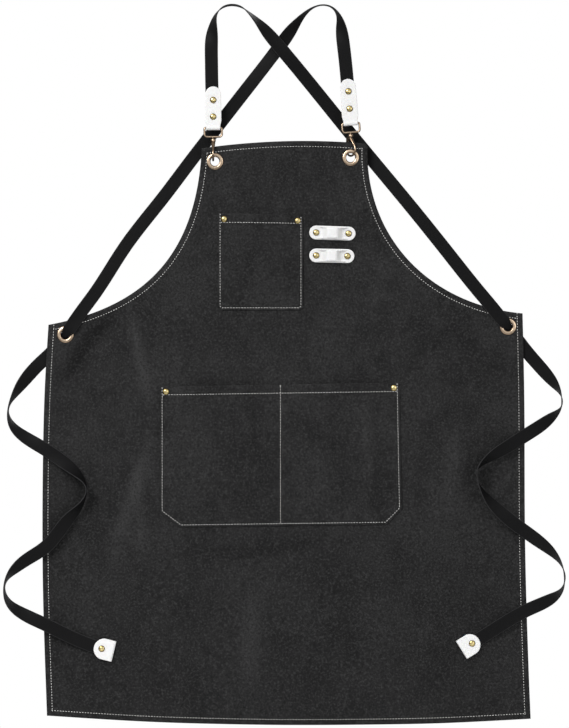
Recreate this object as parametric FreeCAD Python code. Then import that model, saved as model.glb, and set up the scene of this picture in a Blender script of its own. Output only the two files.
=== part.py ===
"""Cross-back work apron, hanging upright from the two bends of its shoulder webbing.

Frame, in millimetres: X to the wearer's left when seen from the front (right of the view), Y from the
front towards the back, Z up. The origin lies level with the underside of the two strap bends, over the
middle of the apron, so the whole apron hangs below it. The panel's middle plane is Y = 0.
"""
import FreeCAD, Part
import math
import os
from FreeCAD import Vector

os.makedirs("parts", exist_ok=True)

# ---------------------------------------------------------------- driving dimensions, mm
CANVAS = 1.2                    # waxed canvas, hemmed panel taken at one even thickness
FRONT = -CANVAS / 2             # Y of the panel's front face
BACK = CANVAS / 2

TOP_LEFT = (-121.0, -205.5)     # bib corners
TOP_RIGHT = (118.0, -199.0)
TOP_SAG = 7.0                   # the bib's top edge rises this much in its middle
WAIST_LEFT = (-342.0, -460.0)   # outer corners where armhole and side meet
WAIST_RIGHT = (341.5, -443.5)
HEM_LEFT = (-344.5, -1024.0)    # bottom corners
HEM_RIGHT = (353.5, -1028.5)
HEM_SAG = 11.0                  # the bottom hem hangs this much lower in its middle
SIDE_LEFT = [(-347.0, -545.0), (-350.5, -700.0), (-350.0, -850.0)]
SIDE_RIGHT = [(344.0, -560.0), (345.0, -740.0), (348.5, -900.0)]
ARMHOLE_LEFT = [(-128.5, -353.0), (-196.0, -433.0)]      # control points of the armhole curves
ARMHOLE_RIGHT = [(112.5, -334.0), (208.0, -431.5)]
STITCH_INSET = 8.0              # topstitching line inside every edge
STITCH_RUN = 24.0               # straight runs that the line is drawn in
THREAD = 0.9                    # width of a stitching line
THREAD_PROUD = 0.3

GROMMET_HOLE = 6.35
GROMMET_OUTER = 12.0
GROMMET_FLANGE = 1.2
GROMMET_BARREL = 0.85
WASHER = 1.0
WASHER_OUTER = 11.4
LIP = 0.5                       # rolled lip that locks the barrel over its washer
BIB_GROMMETS = {"left": (-102.0, -224.5), "right": (93.6, -219.0)}
WAIST_GROMMETS = {"left": (-317.5, -474.0), "right": (320.5, -462.5)}

WEB_WIDTH = 19.0                # flat webbing of shoulder straps and ties, one length each side
WEB = 1.6
WEB_STEP = 7.0                  # spacing of the sections that a strap is lofted through
WEB_FINE = 2.0                  # spacing where it is gathered
WEB_PINCH = 0.45                # share of its width left where webbing is gathered in a grommet

LEATHER = 1.8
TAB_WIDTH = 23.6                # clasp tab, folded round the bar of the hook's eye
FOLD_WIDTH = 20.6               # the tab narrows to this where it passes through the eye
TAB_TOP_WIDTH = 22.4            # where the rounded top begins
TAB_LENGTH = {"left": 59.5, "right": 64.0}          # from the bar's centre to the rounded top
TAB_RIVETS = {"left": (16.0, 40.0), "right": (21.0, 46.0)}      # heights over the bar's centre
CLASP_BAR = {"left": (-104.5, -176.0), "right": (93.6, -169.5)}
CLASP_LEAN = {"left": 0.0, "right": 4.0}       # degrees, top of the tab towards -X
HOOK_TURN = {"left": 0.0, "right": 40.0}       # degrees about the swivel axis at rest
EYE_WIRE = 1.5
EYE_HALF = 12.6                 # bar to side wire of the eye, across
EYE_DROP = 13.0                 # bar to the eye's lower wire
FOLD_GAP = 0.25                 # running clearance of the bar in its leather fold
SWIVEL_POST = 1.6
SWIVEL_GAP = 0.06
KNOB = 3.8                      # hook's round swivel boss
HOOK_WIRE = 1.5
HOOK_DROP = 47.0                # bar's centre to the centre of the hook's lowest wire
HOOK_FRONT = 10.0               # swivel axis to the spine, forwards
HOOK_NOSE = 8.6                 # swivel axis to the nose, backwards
GATE_PIN = 0.7
GATE_GAP = 0.06
GATE_HALF = 2.6                 # half widths of the gate, of its slot and of the ear inside it
SLOT_HALF = 1.9
EAR_HALF = 1.0

TIE_TAB_WIDTH = 30.0            # D-shaped leather end of each tie
TIE_TAB_BACK = 18.0             # rivet to the straight fold
TIE_TAB_TIP = 11.5              # rivet to the rounded tip
TIE_TABS = {"left": (-265.0, -926.5, 166.0), "right": (268.5, -919.0, 32.0)}   # x, z, heading
TIE_LAYER = -3.6                # Y of the webbing's middle where it lies in front of the panel

RIVET_POST = 1.5
RIVET_CAP = 4.6
RIVET_DOME = 1.7
RIVET_BACK = 3.8
FIT = 0.05                      # radial gap between a rivet post and the layers that it joins

POCKET_CLOTH = 1.2
POCKET_SLACK = 8.0              # how far a pocket's front stands off the panel
POCKET_SEAM = 14.0              # flat sewn margin between a pocket's edge and its bellied part
POCKET_SLOPE = 12.0             # run over which the front rises to its full slack
SEAM_INSET = 3.5                # sewn line inside a pocket's edge
SEAM_TOP = 16.0                 # it starts this far below the mouth, under the corner rivet
DIVIDER_SEAM = 4.0              # half of the sewn strip between two cells of a pocket
CHEST_POCKET = [(-98.0, -298.5), (-98.0, -434.5), (-93.5, -439.0), (21.0, -439.0), (25.5, -434.5),
                (25.5, -303.0)]
CHEST_RIVETS = [(-88.7, -307.5), (17.4, -310.0)]
LOWER_POCKET = [(-181.5, -549.0), (-181.5, -730.0), (-152.0, -752.0), (145.5, -748.0),
                (167.5, -725.5), (164.0, -543.0)]
LOWER_RIVETS = [(-172.5, -556.5), (156.0, -551.0)]
DIVIDER_X = -7.5

LOOP_HEIGHT = 20.0              # leather tool loops with fully rounded ends
LOOP_END = 10.0                 # rivet to the end of a loop
LOOP_RISE = 9.0                 # clear height under the bowed middle
TOOL_LOOPS = {"upper": [(44.0, -327.0), (90.7, -328.5)], "lower": [(44.0, -360.0), (89.0, -361.0)]}

# Strap routes: x, z, y of the webbing's middle, its turn about its own length in degrees (0 lies flat
# to the front, 90 stands edge-on) and the share of its width that is left where it is gathered.
STRETCHES = ("riser", "diagonal", "upper_tie", "lower_tie")
STRETCH_ENDS = (8, 26, 37)      # stations of the route where one stretch ends and the next begins
LEFT_ROUTE = [
    (-104.5, -166, 0, 0, 1), (-105.5, -140, 0, 0, 1), (-106.5, -112, 0, 0, 1), (-107, -80, 0, 0, 1),
    (-107, -54, 0, 8, 1), (-105, -31, 0, 48, 1), (-100, -12, 0, 80, 1), (-90, -2, 0, 90, 1),
    (-77, 1, 0, 92, 1), (-64, -2, 0, 90, 1), (-52, -11, 0, 78, 1), (-40, -23, 0, 58, 1),
    (-26, -39, 1, 25, 1), (-9, -59, 2, 0, 1), (45, -124, 9, 0, 1), (93, -183, 14, 0, 1),
    (125, -222, 11, 0, 1), (181, -290, 4, 0, 1), (240, -364, -1, 0, 1), (280, -414, -3, 0, 1),
    (300, -438, -3.5, 0, 1), (311, -451.5, -3.6, 0, 0.7), (316.2, -457.4, -3.4, 0, 0.48),
    (320.5, -462.5, 0.1, 0, WEB_PINCH), (324.7, -467.7, 3.7, 0, 0.48), (329.5, -474, 4.1, 0, 0.7),
    (338, -486, 4, 0, 1), (354, -506, 4, 0, 1),
    (375, -530, 3, 18, 1), (390, -549, 1, 55, 1), (398, -566, -1, 88, 1), (396.5, -580, -3, 82, 1),
    (385, -592, -5, 48, 1), (366, -606, -7, 14, 1), (344, -620, -8, 0, 1), (320, -635, -10, 12, 1),
    (292, -652, -12, 50, 1), (275, -671, -13, 88, 1), (279, -692, -13, 82, 1), (292, -712, -12, 50, 1),
    (312, -732, -10, 14, 1), (344, -757, -8, 0, 1), (366, -773, -7, 22, 1), (384, -788, -6, 52, 1),
    (397, -805, -5, 80, 1), (402, -824, -4.5, 90, 1), (398, -841, -4.5, 72, 1),
    (382, -855, -4.5, 30, 1), (348, -871, -4.2, 0, 1), (308, -894, -3.8, 0, 1),
    (277, -913.5, -3.6, 0, 1), (262, -923, -3.6, 0, 1)]
RIGHT_ROUTE = [
    (93, -161, 0, 0, 1), (90.8, -134, 0, 0, 1), (88.6, -107, 0, 0, 1), (86, -80, 0, 0, 1),
    (83, -54, 0, 8, 1), (80, -31, 0, 40, 1), (75, -12, 0, 78, 1), (66, -2, 0, 90, 1),
    (54, 1, 0, 92, 1), (41, -2, 0, 90, 1), (28, -11, 1, 78, 1), (17, -23, 3, 58, 1),
    (5, -39, 6, 25, 1), (-9, -58, 9, 0, 1), (-60, -124, 12, 0, 1), (-106, -183, 14, 0, 1),
    (-136, -222, 11, 0, 1), (-178, -278, 5, 0, 1), (-231, -347, -1, 0, 1), (-275, -415, -3, 0, 1),
    (-297, -445, -3.5, 0, 1), (-308.5, -461.5, -3.6, 0, 0.7), (-313.6, -468.6, -3.4, 0, 0.48),
    (-317.5, -474, 0.1, 0, WEB_PINCH), (-321.3, -479.4, 3.7, 0, 0.48), (-326, -486, 4.1, 0, 0.7),
    (-336, -498, 4, 0, 1), (-356, -517, 4, 0, 1),
    (-374, -537, 3, 22, 1), (-391, -561, 1, 66, 1), (-400, -584, -1, 90, 1), (-394, -604, -3, 62, 1),
    (-372, -624, -6, 22, 1), (-347, -639, -8, 0, 1), (-322, -656, -10, 14, 1),
    (-299, -675, -12, 56, 1), (-287, -695, -13, 90, 1), (-293, -716, -13, 74, 1),
    (-312, -739, -11, 28, 1), (-347, -781, -8, 0, 1), (-371, -797, -7, 16, 1), (-392, -814, -6, 50, 1),
    (-405, -835, -5, 88, 1), (-401, -857, -4.5, 70, 1), (-379, -876, -4.5, 28, 1),
    (-348, -891, -4.2, 0, 1), (-311, -909, -3.8, 0, 1), (-278, -922.5, -3.6, 0, 1),
    (-259, -928.5, -3.6, 0, 1)]

parts = {}


# ---------------------------------------------------------------- helpers
def at(point, y=0.0):
    """A point given as (x, z), placed at depth y."""
    return Vector(point[0], y, point[1])


def plate(edges, y_low, y_high):
    """Solid between two depths under a closed outline drawn in the plane Y = 0."""
    face = Part.Face(Part.Wire(Part.__sortEdges__(edges)))
    solid = face.extrude(Vector(0, y_high - y_low, 0))
    solid.translate(Vector(0, y_low, 0))
    return solid


def outline(points):
    """Straight edges joining (x, z) points into a closed outline."""
    corners = [at(p) for p in points]
    return [Part.LineSegment(a, b).toShape() for a, b in zip(corners, corners[1:] + corners[:1])]


def rod_y(centre, radius, y_low, y_high):
    """Round rod along Y at an (x, z) centre."""
    return Part.makeCylinder(radius, y_high - y_low, at(centre, y_low), Vector(0, 1, 0))


def sweep(path, radius):
    """Round wire along a path of tangent lines and arcs."""
    start = path[0].valueAt(path[0].FirstParameter)
    heading = path[0].tangentAt(path[0].FirstParameter)
    ring = Part.Wire(Part.makeCircle(radius, start, heading))
    return Part.Wire(path).makePipeShell([ring], True, True)


def segment(a, b):
    return Part.LineSegment(a, b).toShape()


def bend(a, middle, b):
    return Part.Arc(a, middle, b).toShape()


def spline(points):
    curve = Part.BSplineCurve()
    curve.interpolate(points)
    return curve.toShape()


def rivet(centre, y_front, y_back):
    """Domed cap on the front, post through the layers, flat cap on the back."""
    cap = Part.makeCylinder(RIVET_CAP, 0.5, at(centre, y_front - 0.5), Vector(0, 1, 0))
    radius = (RIVET_CAP ** 2 + RIVET_DOME ** 2) / (2 * RIVET_DOME)
    ball = Part.makeSphere(radius, at(centre, y_front - 0.5 - RIVET_DOME + radius))
    dome = ball.common(rod_y(centre, RIVET_CAP, y_front - 0.5 - RIVET_DOME, y_front - 0.5))
    post = rod_y(centre, RIVET_POST, y_front - 0.1, y_back + 0.1)
    tail = rod_y(centre, RIVET_BACK, y_back, y_back + 0.8)
    return cap.fuse([dome, post, tail]).removeSplitter()


def bore(solid, centres, radius):
    """The solid with round holes along Y."""
    for centre in centres:
        solid = solid.cut(rod_y(centre, radius, -40, 40))
    return solid


# ---------------------------------------------------------------- canvas panel and its topstitching
def panel_edges():
    top_middle = ((TOP_LEFT[0] + TOP_RIGHT[0]) / 2, (TOP_LEFT[1] + TOP_RIGHT[1]) / 2 + TOP_SAG)
    hem_middle = ((HEM_LEFT[0] + HEM_RIGHT[0]) / 2, (HEM_LEFT[1] + HEM_RIGHT[1]) / 2 - HEM_SAG)
    right = Part.BezierCurve()
    right.setPoles([at(p) for p in [TOP_RIGHT] + ARMHOLE_RIGHT + [WAIST_RIGHT]])
    left = Part.BezierCurve()
    left.setPoles([at(p) for p in [TOP_LEFT] + ARMHOLE_LEFT + [WAIST_LEFT]])
    return [bend(at(TOP_LEFT), at(top_middle), at(TOP_RIGHT)), right.toShape(),
            spline([at(p) for p in [WAIST_RIGHT] + SIDE_RIGHT + [HEM_RIGHT]]),
            bend(at(HEM_RIGHT), at(hem_middle), at(HEM_LEFT)),
            spline([at(p) for p in [HEM_LEFT] + SIDE_LEFT[::-1] + [WAIST_LEFT]]), left.toShape()]


def panel_corners():
    """The panel's outline as short straight runs, clockwise seen from the front."""
    points = []
    for edge in panel_edges():
        count = max(2, round(edge.Length / STITCH_RUN))
        step = (edge.LastParameter - edge.FirstParameter) / count
        run = [edge.valueAt(edge.FirstParameter + step * i) for i in range(count + 1)]
        if points and run[0].distanceToPoint(points[-1]) > 0.01:
            run.reverse()
        elif not points and run[0].distanceToPoint(at(TOP_LEFT)) > 0.01:
            run.reverse()
        points += run[1:]
    return [(p.x, p.z) for p in points]


def inset_outline(points, inset):
    """A clockwise outline moved inwards, with its corners mitred."""
    lines = []
    for (xa, za), (xb, zb) in zip(points, points[1:] + points[:1]):
        length = math.hypot(xb - xa, zb - za)
        ux, uz = (xb - xa) / length, (zb - za) / length
        lines.append((xa + uz * inset, za - ux * inset, ux, uz))
    moved = []
    for (xa, za, ua, wa), (xb, zb, ub, wb) in zip(lines[-1:] + lines[:-1], lines):
        cross = ua * wb - wa * ub
        reach = ((xb - xa) * wb - (zb - za) * ub) / cross if abs(cross) > 1e-6 else None
        moved.append((xb, zb) if reach is None else (xa + ua * reach, za + wa * reach))
    return moved


def stitch_band(inset, y_low, y_high):
    """Thin band that follows the panel's edge at a given inset."""
    corners = panel_corners()
    outer = plate(outline(inset_outline(corners, inset)), y_low, y_high)
    hole = plate(outline(inset_outline(corners, inset + THREAD)), y_low - 1, y_high + 1)
    return outer.cut(hole)


PANEL_RIVETS = CHEST_RIVETS + LOWER_RIVETS + TOOL_LOOPS["upper"] + TOOL_LOOPS["lower"]
panel = plate(panel_edges(), FRONT, BACK)
BIB_AND_WAIST = list(BIB_GROMMETS.values()) + list(WAIST_GROMMETS.values())
panel = bore(panel, BIB_AND_WAIST, GROMMET_HOLE + GROMMET_BARREL)
parts["apron_panel"] = bore(panel, PANEL_RIVETS, RIVET_POST + FIT)


# ---------------------------------------------------------------- pockets
def belly(cell, depth):
    """Solid over a four-sided cell (bottom left first, anticlockwise) that swells out to depth."""
    (x0, low), (x1, _), (_, z1), (_, z0) = cell
    high = max(z0, z1)
    far = FRONT - depth
    plan = [Vector(x0, FRONT, low), Vector(x0 + POCKET_SLOPE, far, low),
            Vector(x1 - POCKET_SLOPE, far, low), Vector(x1, FRONT, low)]
    side = [Vector(x0, FRONT, low), Vector(x0, far, low + POCKET_SLOPE),
            Vector(x0, far, high), Vector(x0, FRONT, high)]
    across = Part.Face(Part.makePolygon(plan + plan[:1])).extrude(Vector(0, 0, high - low))
    along = Part.Face(Part.makePolygon(side + side[:1])).extrude(Vector(x1 - x0, 0, 0))
    return across.common(along).common(plate(outline(cell), far - 1, FRONT + 1))


def pocket(points, rivets, dividers):
    """Patch pocket, sewn down along its sides, bottom and dividers, with an open mouth."""
    (left, z_left), (right, z_right) = points[0], points[-1]
    slope = (z_right - z_left) / (right - left)
    low = min(z for x, z in points) + POCKET_SEAM
    borders = [left] + dividers + [right]
    body = plate(outline(points), FRONT - POCKET_CLOTH, FRONT)
    hollows = []
    for k in range(len(borders) - 1):
        x0 = borders[k] + (POCKET_SEAM if k == 0 else DIVIDER_SEAM)
        x1 = borders[k + 1] - (POCKET_SEAM if k == len(borders) - 2 else DIVIDER_SEAM)
        z0, z1 = z_left + slope * (x0 - left), z_left + slope * (x1 - left)
        body = body.fuse(belly([(x0, low), (x1, low), (x1, z1), (x0, z0)], POCKET_SLACK + POCKET_CLOTH))
        x0, x1, z0, z1 = x0 + POCKET_CLOTH, x1 - POCKET_CLOTH, z0 + 5, z1 + 5
        hollows.append(belly([(x0, low + POCKET_CLOTH), (x1, low + POCKET_CLOTH), (x1, z1), (x0, z0)],
                             POCKET_SLACK))
    for hollow in hollows:
        body = body.cut(hollow)
    return bore(body, rivets, RIVET_POST + FIT)


parts["chest_pocket"] = pocket(CHEST_POCKET, CHEST_RIVETS, [])
parts["lower_pocket"] = pocket(LOWER_POCKET, LOWER_RIVETS, [DIVIDER_X])


def stitch_line(points, y_high):
    """Thin straight bands between points, standing proud of a surface that faces the front."""
    bands = []
    for (xa, za), (xb, zb) in zip(points, points[1:]):
        length = math.hypot(xb - xa, zb - za)
        band = Part.makeBox(length, THREAD_PROUD, THREAD, Vector(0, 0, -THREAD / 2))
        band.rotate(Vector(0, 0, 0), Vector(0, 1, 0), -math.degrees(math.atan2(zb - za, xb - xa)))
        band.translate(Vector(xa, y_high - THREAD_PROUD, za))
        bands.append(band)
    return bands[0].fuse(bands[1:]) if len(bands) > 1 else bands[0]


def seam_points(points):
    """A pocket's sewn line: down one side, along the bottom and up the other side."""
    middle = (points[0][0] + points[-1][0]) / 2
    low = min(z for x, z in points)
    moved = []
    for i, (x, z) in enumerate(points):
        side = SEAM_INSET if x < middle else -SEAM_INSET
        if i in (0, len(points) - 1):
            moved.append((x + side, z - SEAM_TOP))
        else:
            moved.append((x + side, z + SEAM_INSET * (z < low + 6)))
    return moved


edge_bands = [stitch_band(STITCH_INSET, FRONT - THREAD_PROUD, FRONT),
              stitch_band(STITCH_INSET, BACK, BACK + THREAD_PROUD)]
edge_bands = [bore(band, BIB_AND_WAIST, GROMMET_OUTER + 0.5) for band in edge_bands]
parts["edge_topstitching"] = Part.makeCompound(edge_bands)
sewn = FRONT - POCKET_CLOTH
parts["chest_pocket_stitching"] = stitch_line(seam_points(CHEST_POCKET), sewn)
divider = [(DIVIDER_X, -556.0), (DIVIDER_X, -744.0)]
lower_seam = stitch_line(seam_points(LOWER_POCKET), sewn)
parts["lower_pocket_stitching"] = Part.makeCompound([lower_seam, stitch_line(divider, sewn)])


# ---------------------------------------------------------------- eyelets
def grommet(centre):
    """Front flange with a rolled edge and the barrel through the cloth."""
    flange = rod_y(centre, GROMMET_OUTER, FRONT - GROMMET_FLANGE, FRONT)
    rim = [e for e in flange.Edges if abs(e.BoundBox.YMin - (FRONT - GROMMET_FLANGE)) < 0.01]
    flange = flange.makeFillet(0.9, [e for e in rim if e.BoundBox.YLength < 0.01])
    barrel = rod_y(centre, GROMMET_HOLE + GROMMET_BARREL, FRONT - 0.2, BACK + WASHER)
    lip = rod_y(centre, GROMMET_HOLE + 2 * GROMMET_BARREL, BACK + WASHER, BACK + WASHER + LIP)
    body = flange.fuse([barrel, lip])
    return bore(body, [centre], GROMMET_HOLE)


def washer(centre):
    disc = rod_y(centre, WASHER_OUTER, BACK, BACK + WASHER)
    return bore(disc, [centre], GROMMET_HOLE + GROMMET_BARREL)


for place, group in (("bib", BIB_GROMMETS), ("waist", WAIST_GROMMETS)):
    for side, centre in group.items():
        parts[f"{side}_{place}_grommet"] = grommet(centre)
        parts[f"{side}_{place}_washer"] = washer(centre)


# ---------------------------------------------------------------- webbing
def ribbon(route):
    """Flat webbing lofted through sections along a smooth route, in stretches that meet end to end."""
    knots = [Vector(x, y, z) for x, z, y, turn, share in route]
    stations = [0.0]
    for a, b in zip(knots, knots[1:]):
        stations.append(stations[-1] + a.distanceToPoint(b))
    curve = Part.BSplineCurve()
    curve.interpolate(Points=knots, Parameters=stations)
    total = stations[-1]
    sections, reached = [], []
    s = 0.0
    while s < total:
        k = max(j for j in range(len(stations) - 1) if stations[j] <= s)
        mix = (s - stations[k]) / (stations[k + 1] - stations[k])
        ease = mix * mix * (3 - 2 * mix)
        turn = math.radians(route[k][3] + (route[k + 1][3] - route[k][3]) * mix)
        share = route[k][4] + (route[k + 1][4] - route[k][4]) * ease
        centre = curve.value(s)
        along = curve.tangent(s)[0]
        flat = Vector(along.z, 0, -along.x).normalize()
        edge_on = flat.cross(along)
        across = flat * math.cos(turn) + edge_on * math.sin(turn)
        thick = across.cross(along).normalize()
        w, t = across * (WEB_WIDTH * share / 2), thick * (WEB / 2)
        corners = [centre + w + t, centre - w + t, centre - w - t, centre + w - t]
        sections.append(Part.makePolygon(corners + corners[:1]))
        reached.append(s)
        s += WEB_STEP if min(route[k][4], route[k + 1][4]) == 1 else WEB_FINE
    joins = [next(i for i, r in enumerate(reached) if r >= stations[k]) for k in STRETCH_ENDS]
    starts, ends = [0] + joins, joins + [len(sections) - 1]
    return [Part.makeLoft(sections[a:b + 1], True, True) for a, b in zip(starts, ends)], total


def on_tab(side, distance):
    """Point (x, z) on a clasp tab's middle line, at a distance above the bar."""
    x, z = CLASP_BAR[side]
    lean = math.radians(CLASP_LEAN[side])
    return (x - distance * math.sin(lean), z + distance * math.cos(lean))


for side, route, far in (("left", LEFT_ROUTE, "right"), ("right", RIGHT_ROUTE, "left")):
    lengths, length = ribbon(route)
    volume = sum(piece.Volume for piece in lengths)
    print(f"{side} strap webbing: {length:.0f} mm long, {volume / (WEB_WIDTH * WEB):.0f} by volume")
    lengths[0] = bore(lengths[0], [on_tab(side, d) for d in TAB_RIVETS[side]], RIVET_POST + FIT)
    lengths[-1] = bore(lengths[-1], [TIE_TABS[far][:2]], RIVET_POST + FIT)
    for stretch, piece in zip(STRETCHES, lengths):
        parts[f"{side}_{stretch}_webbing"] = piece


# ---------------------------------------------------------------- leather tabs
def clasp_tab(top, rivets):
    """Leaf, fold and leaf of leather round the eye's bar, which lies along X at the origin."""
    inner, outer = EYE_WIRE + FOLD_GAP, EYE_WIRE + FOLD_GAP + LEATHER
    half, neck, crown = TAB_WIDTH / 2, FOLD_WIDTH / 2, TAB_TOP_WIDTH / 2
    shoulder = top - crown
    foot = [Vector(-crown, 0, shoulder), Vector(-half, 0, 12), Vector(-neck, 0, 5), Vector(-neck, 0, 0),
            Vector(neck, 0, 0), Vector(neck, 0, 5), Vector(half, 0, 12), Vector(crown, 0, shoulder)]
    shape = [segment(a, b) for a, b in zip(foot, foot[1:])]
    shape.append(bend(foot[-1], Vector(0, 0, top), foot[0]))
    leaves = plate(shape, -WEB / 2 - LEATHER, WEB / 2 + LEATHER).cut(plate(shape, -WEB / 2, WEB / 2))
    tube = Part.makeCylinder(outer, FOLD_WIDTH, Vector(-neck, 0, 0), Vector(1, 0, 0))
    hollow = Part.makeCylinder(inner, TAB_WIDTH + 2, Vector(-half - 1, 0, 0), Vector(1, 0, 0))
    slot = Part.makeBox(TAB_WIDTH + 2, WEB, top, Vector(-half - 1, -WEB / 2, 0))
    tab = leaves.fuse(tube).cut(hollow).cut(slot)
    return bore(tab, [(0, d) for d in rivets], RIVET_POST + FIT)


def stand(shape, side, lean):
    """Move a clasp piece from the origin to its side's bar, leaning in the panel's plane."""
    shape = shape.copy()
    shape.rotate(Vector(0, 0, 0), Vector(0, 1, 0), -lean)
    x, z = CLASP_BAR[side]
    shape.translate(Vector(x, 0, z))
    return shape


def tie_tab():
    """D-shaped leather folded over the end of a tie; the tie comes in from +X and the fold is at -X."""
    half = TIE_TAB_WIDTH / 2
    shoulder = TIE_TAB_TIP - 13
    shape = [segment(Vector(-TIE_TAB_BACK + 2.5, 0, half), Vector(shoulder, 0, half)),
             bend(Vector(shoulder, 0, half), Vector(TIE_TAB_TIP, 0, 0), Vector(shoulder, 0, -half)),
             segment(Vector(shoulder, 0, -half), Vector(-TIE_TAB_BACK + 2.5, 0, -half)),
             segment(Vector(-TIE_TAB_BACK + 2.5, 0, -half), Vector(-TIE_TAB_BACK + 2.5, 0, half))]
    gap = WEB / 2 + 0.1
    outer = gap + LEATHER
    leaves = plate(shape, -outer, outer)
    fold = Part.makeCylinder(outer, 2 * half, Vector(-TIE_TAB_BACK + 2.5, 0, -half), Vector(0, 0, 1))
    body = leaves.fuse(fold)
    body = body.cut(Part.makeBox(80, 2 * gap, 80, Vector(-TIE_TAB_BACK + 2.5, -gap, -40)))
    hollow = Part.makeCylinder(gap, 80, Vector(-TIE_TAB_BACK + 2.5, 0, -40), Vector(0, 0, 1))
    return bore(body.cut(hollow), [(0, 0)], RIVET_POST + FIT)


for side, (x, z, heading) in TIE_TABS.items():
    tab = tie_tab()
    tab.rotate(Vector(0, 0, 0), Vector(0, 1, 0), -heading)
    tab.translate(Vector(x, TIE_LAYER, z))
    parts[f"{side}_tie_tab"] = tab
    reach = WEB / 2 + 0.1 + LEATHER
    cap = rivet((x, z), TIE_LAYER - reach, TIE_LAYER + reach)
    room = rod_y((x, z), RIVET_BACK + 1, TIE_LAYER + reach + 0.3, 10)
    parts[f"{side}_tie_rivet"] = cap.cut(room)


# ---------------------------------------------------------------- swivel snap hooks
def hook_eye(lean):
    """Rectangular wire loop hanging from its leaning bar, with a plumb swivel post below it."""
    h, d, r = EYE_HALF, EYE_DROP, 4.0
    c = r * math.sqrt(0.5)
    path = [segment(Vector(0, 0, 0), Vector(h - 2, 0, 0)),
            bend(Vector(h - 2, 0, 0), Vector(h - 2 + 2 * math.sqrt(0.5), 0, -2 + 2 * math.sqrt(0.5)),
                 Vector(h, 0, -2)),
            segment(Vector(h, 0, -2), Vector(h, 0, -d + r)),
            bend(Vector(h, 0, -d + r), Vector(h - r + c, 0, -d + r - c), Vector(h - r, 0, -d)),
            segment(Vector(h - r, 0, -d), Vector(0, 0, -d))]
    half = sweep(path, EYE_WIRE)
    loop = half.fuse(half.mirror(Vector(0, 0, 0), Vector(1, 0, 0)))
    loop.rotate(Vector(0, 0, 0), Vector(0, 1, 0), -lean)
    post = Part.makeCylinder(SWIVEL_POST, 5.4, Vector(0, 0, -d - 5.4))
    head = Part.makeCylinder(SWIVEL_POST + 0.8, 1.0, Vector(0, 0, -d - 6.4))
    return loop.fuse([post, head]).removeSplitter()


KNOB_Z = -EYE_DROP - EYE_WIRE - 3.9
HOOK_BEND = (HOOK_FRONT + HOOK_NOSE) / 2             # radius of the hook's round bottom
BEND_CENTRE = Vector(0, HOOK_NOSE - HOOK_BEND, -HOOK_DROP + HOOK_BEND)
NOSE = Vector(0, HOOK_NOSE, BEND_CENTRE.z + 3.4)
PIN = Vector(0, 4.6, KNOB_Z - 3.4)


def hook_body():
    """Swivel boss, spine slanting forwards, round bottom, and a nose that comes up behind."""
    knob = Part.makeSphere(KNOB, Vector(0, 0, KNOB_Z))
    knob = knob.cut(Part.makeBox(20, 20, 10, Vector(-10, -10, KNOB_Z + 3.2)))
    start = Vector(0, -0.8, KNOB_Z - 1.0)
    reach = start - BEND_CENTRE
    tilt = math.atan2(reach.z, -reach.y) - math.acos(HOOK_BEND / reach.Length)
    touch = BEND_CENTRE + Vector(0, -math.cos(tilt), math.sin(tilt)) * HOOK_BEND
    path = [segment(start, touch),
            bend(touch, BEND_CENTRE - Vector(0, 0, HOOK_BEND), BEND_CENTRE + Vector(0, HOOK_BEND, 0)),
            segment(BEND_CENTRE + Vector(0, HOOK_BEND, 0), NOSE)]
    ear = Part.makeCylinder(1.5, 2 * EAR_HALF, PIN - Vector(EAR_HALF, 0, 0), Vector(1, 0, 0))
    arm = Part.makeBox(2 * EAR_HALF, 4.6, 2.4, Vector(-EAR_HALF, 0.6, KNOB_Z - 4.4))
    ear = ear.fuse(arm)
    body = knob.fuse([sweep(path, HOOK_WIRE), ear])
    body = body.cut(Part.makeCylinder(SWIVEL_POST + SWIVEL_GAP, 8, Vector(0, 0, KNOB_Z)))
    chamber = Part.makeCylinder(SWIVEL_POST + 1.3, 1.6, Vector(0, 0, -EYE_DROP - 6.7))
    body = body.cut(chamber)
    return body.cut(Part.makeCylinder(GATE_PIN, 20, PIN - Vector(10, 0, 0), Vector(1, 0, 0)))


def hook_gate():
    """Sprung gate: two cheeks on the pin, a tapered lever down to the nose, and a thumb stud."""
    side, slot = Vector(GATE_HALF, 0, 0), Vector(SLOT_HALF, 0, 0)
    cheeks = Part.makeCylinder(1.7, 2 * GATE_HALF, PIN - side, Vector(1, 0, 0))
    tip = NOSE + Vector(0, 0.2, HOOK_WIRE + 0.5)
    rings = []
    for middle, half, front, back in ((PIN + Vector(0, 0, -0.4), GATE_HALF, 0.1, 1.7), (tip, 1.4, -1.1, 1.3)):
        corners = [middle + Vector(x, y, 0)
                   for x, y in ((-half, front), (half, front), (half, back), (-half, back))]
        rings.append(Part.makePolygon(corners + corners[:1]))
    lever = Part.makeLoft(rings, True, True)
    room = Part.makeBox(2 * SLOT_HALF, 3.8, 6.6, PIN - slot + Vector(0, -2.3, -3.8))
    back_wall = Part.makeBox(2 * GATE_HALF, 0.9, 4.6, PIN - side + Vector(0, 1.5, -4.2))
    stud = Part.makeCylinder(1.1, 2.0, PIN + Vector(0, 2.0, -3.0), Vector(0, 1, 0.2))
    gate = cheeks.fuse([lever, back_wall, stud]).cut(room)
    return gate.cut(Part.makeCylinder(GATE_PIN + GATE_GAP, 20, PIN - Vector(10, 0, 0), Vector(1, 0, 0)))


def gate_pin():
    length = 2 * GATE_HALF + 1
    return Part.makeCylinder(GATE_PIN, length, PIN - Vector(length / 2, 0, 0), Vector(1, 0, 0))


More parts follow.
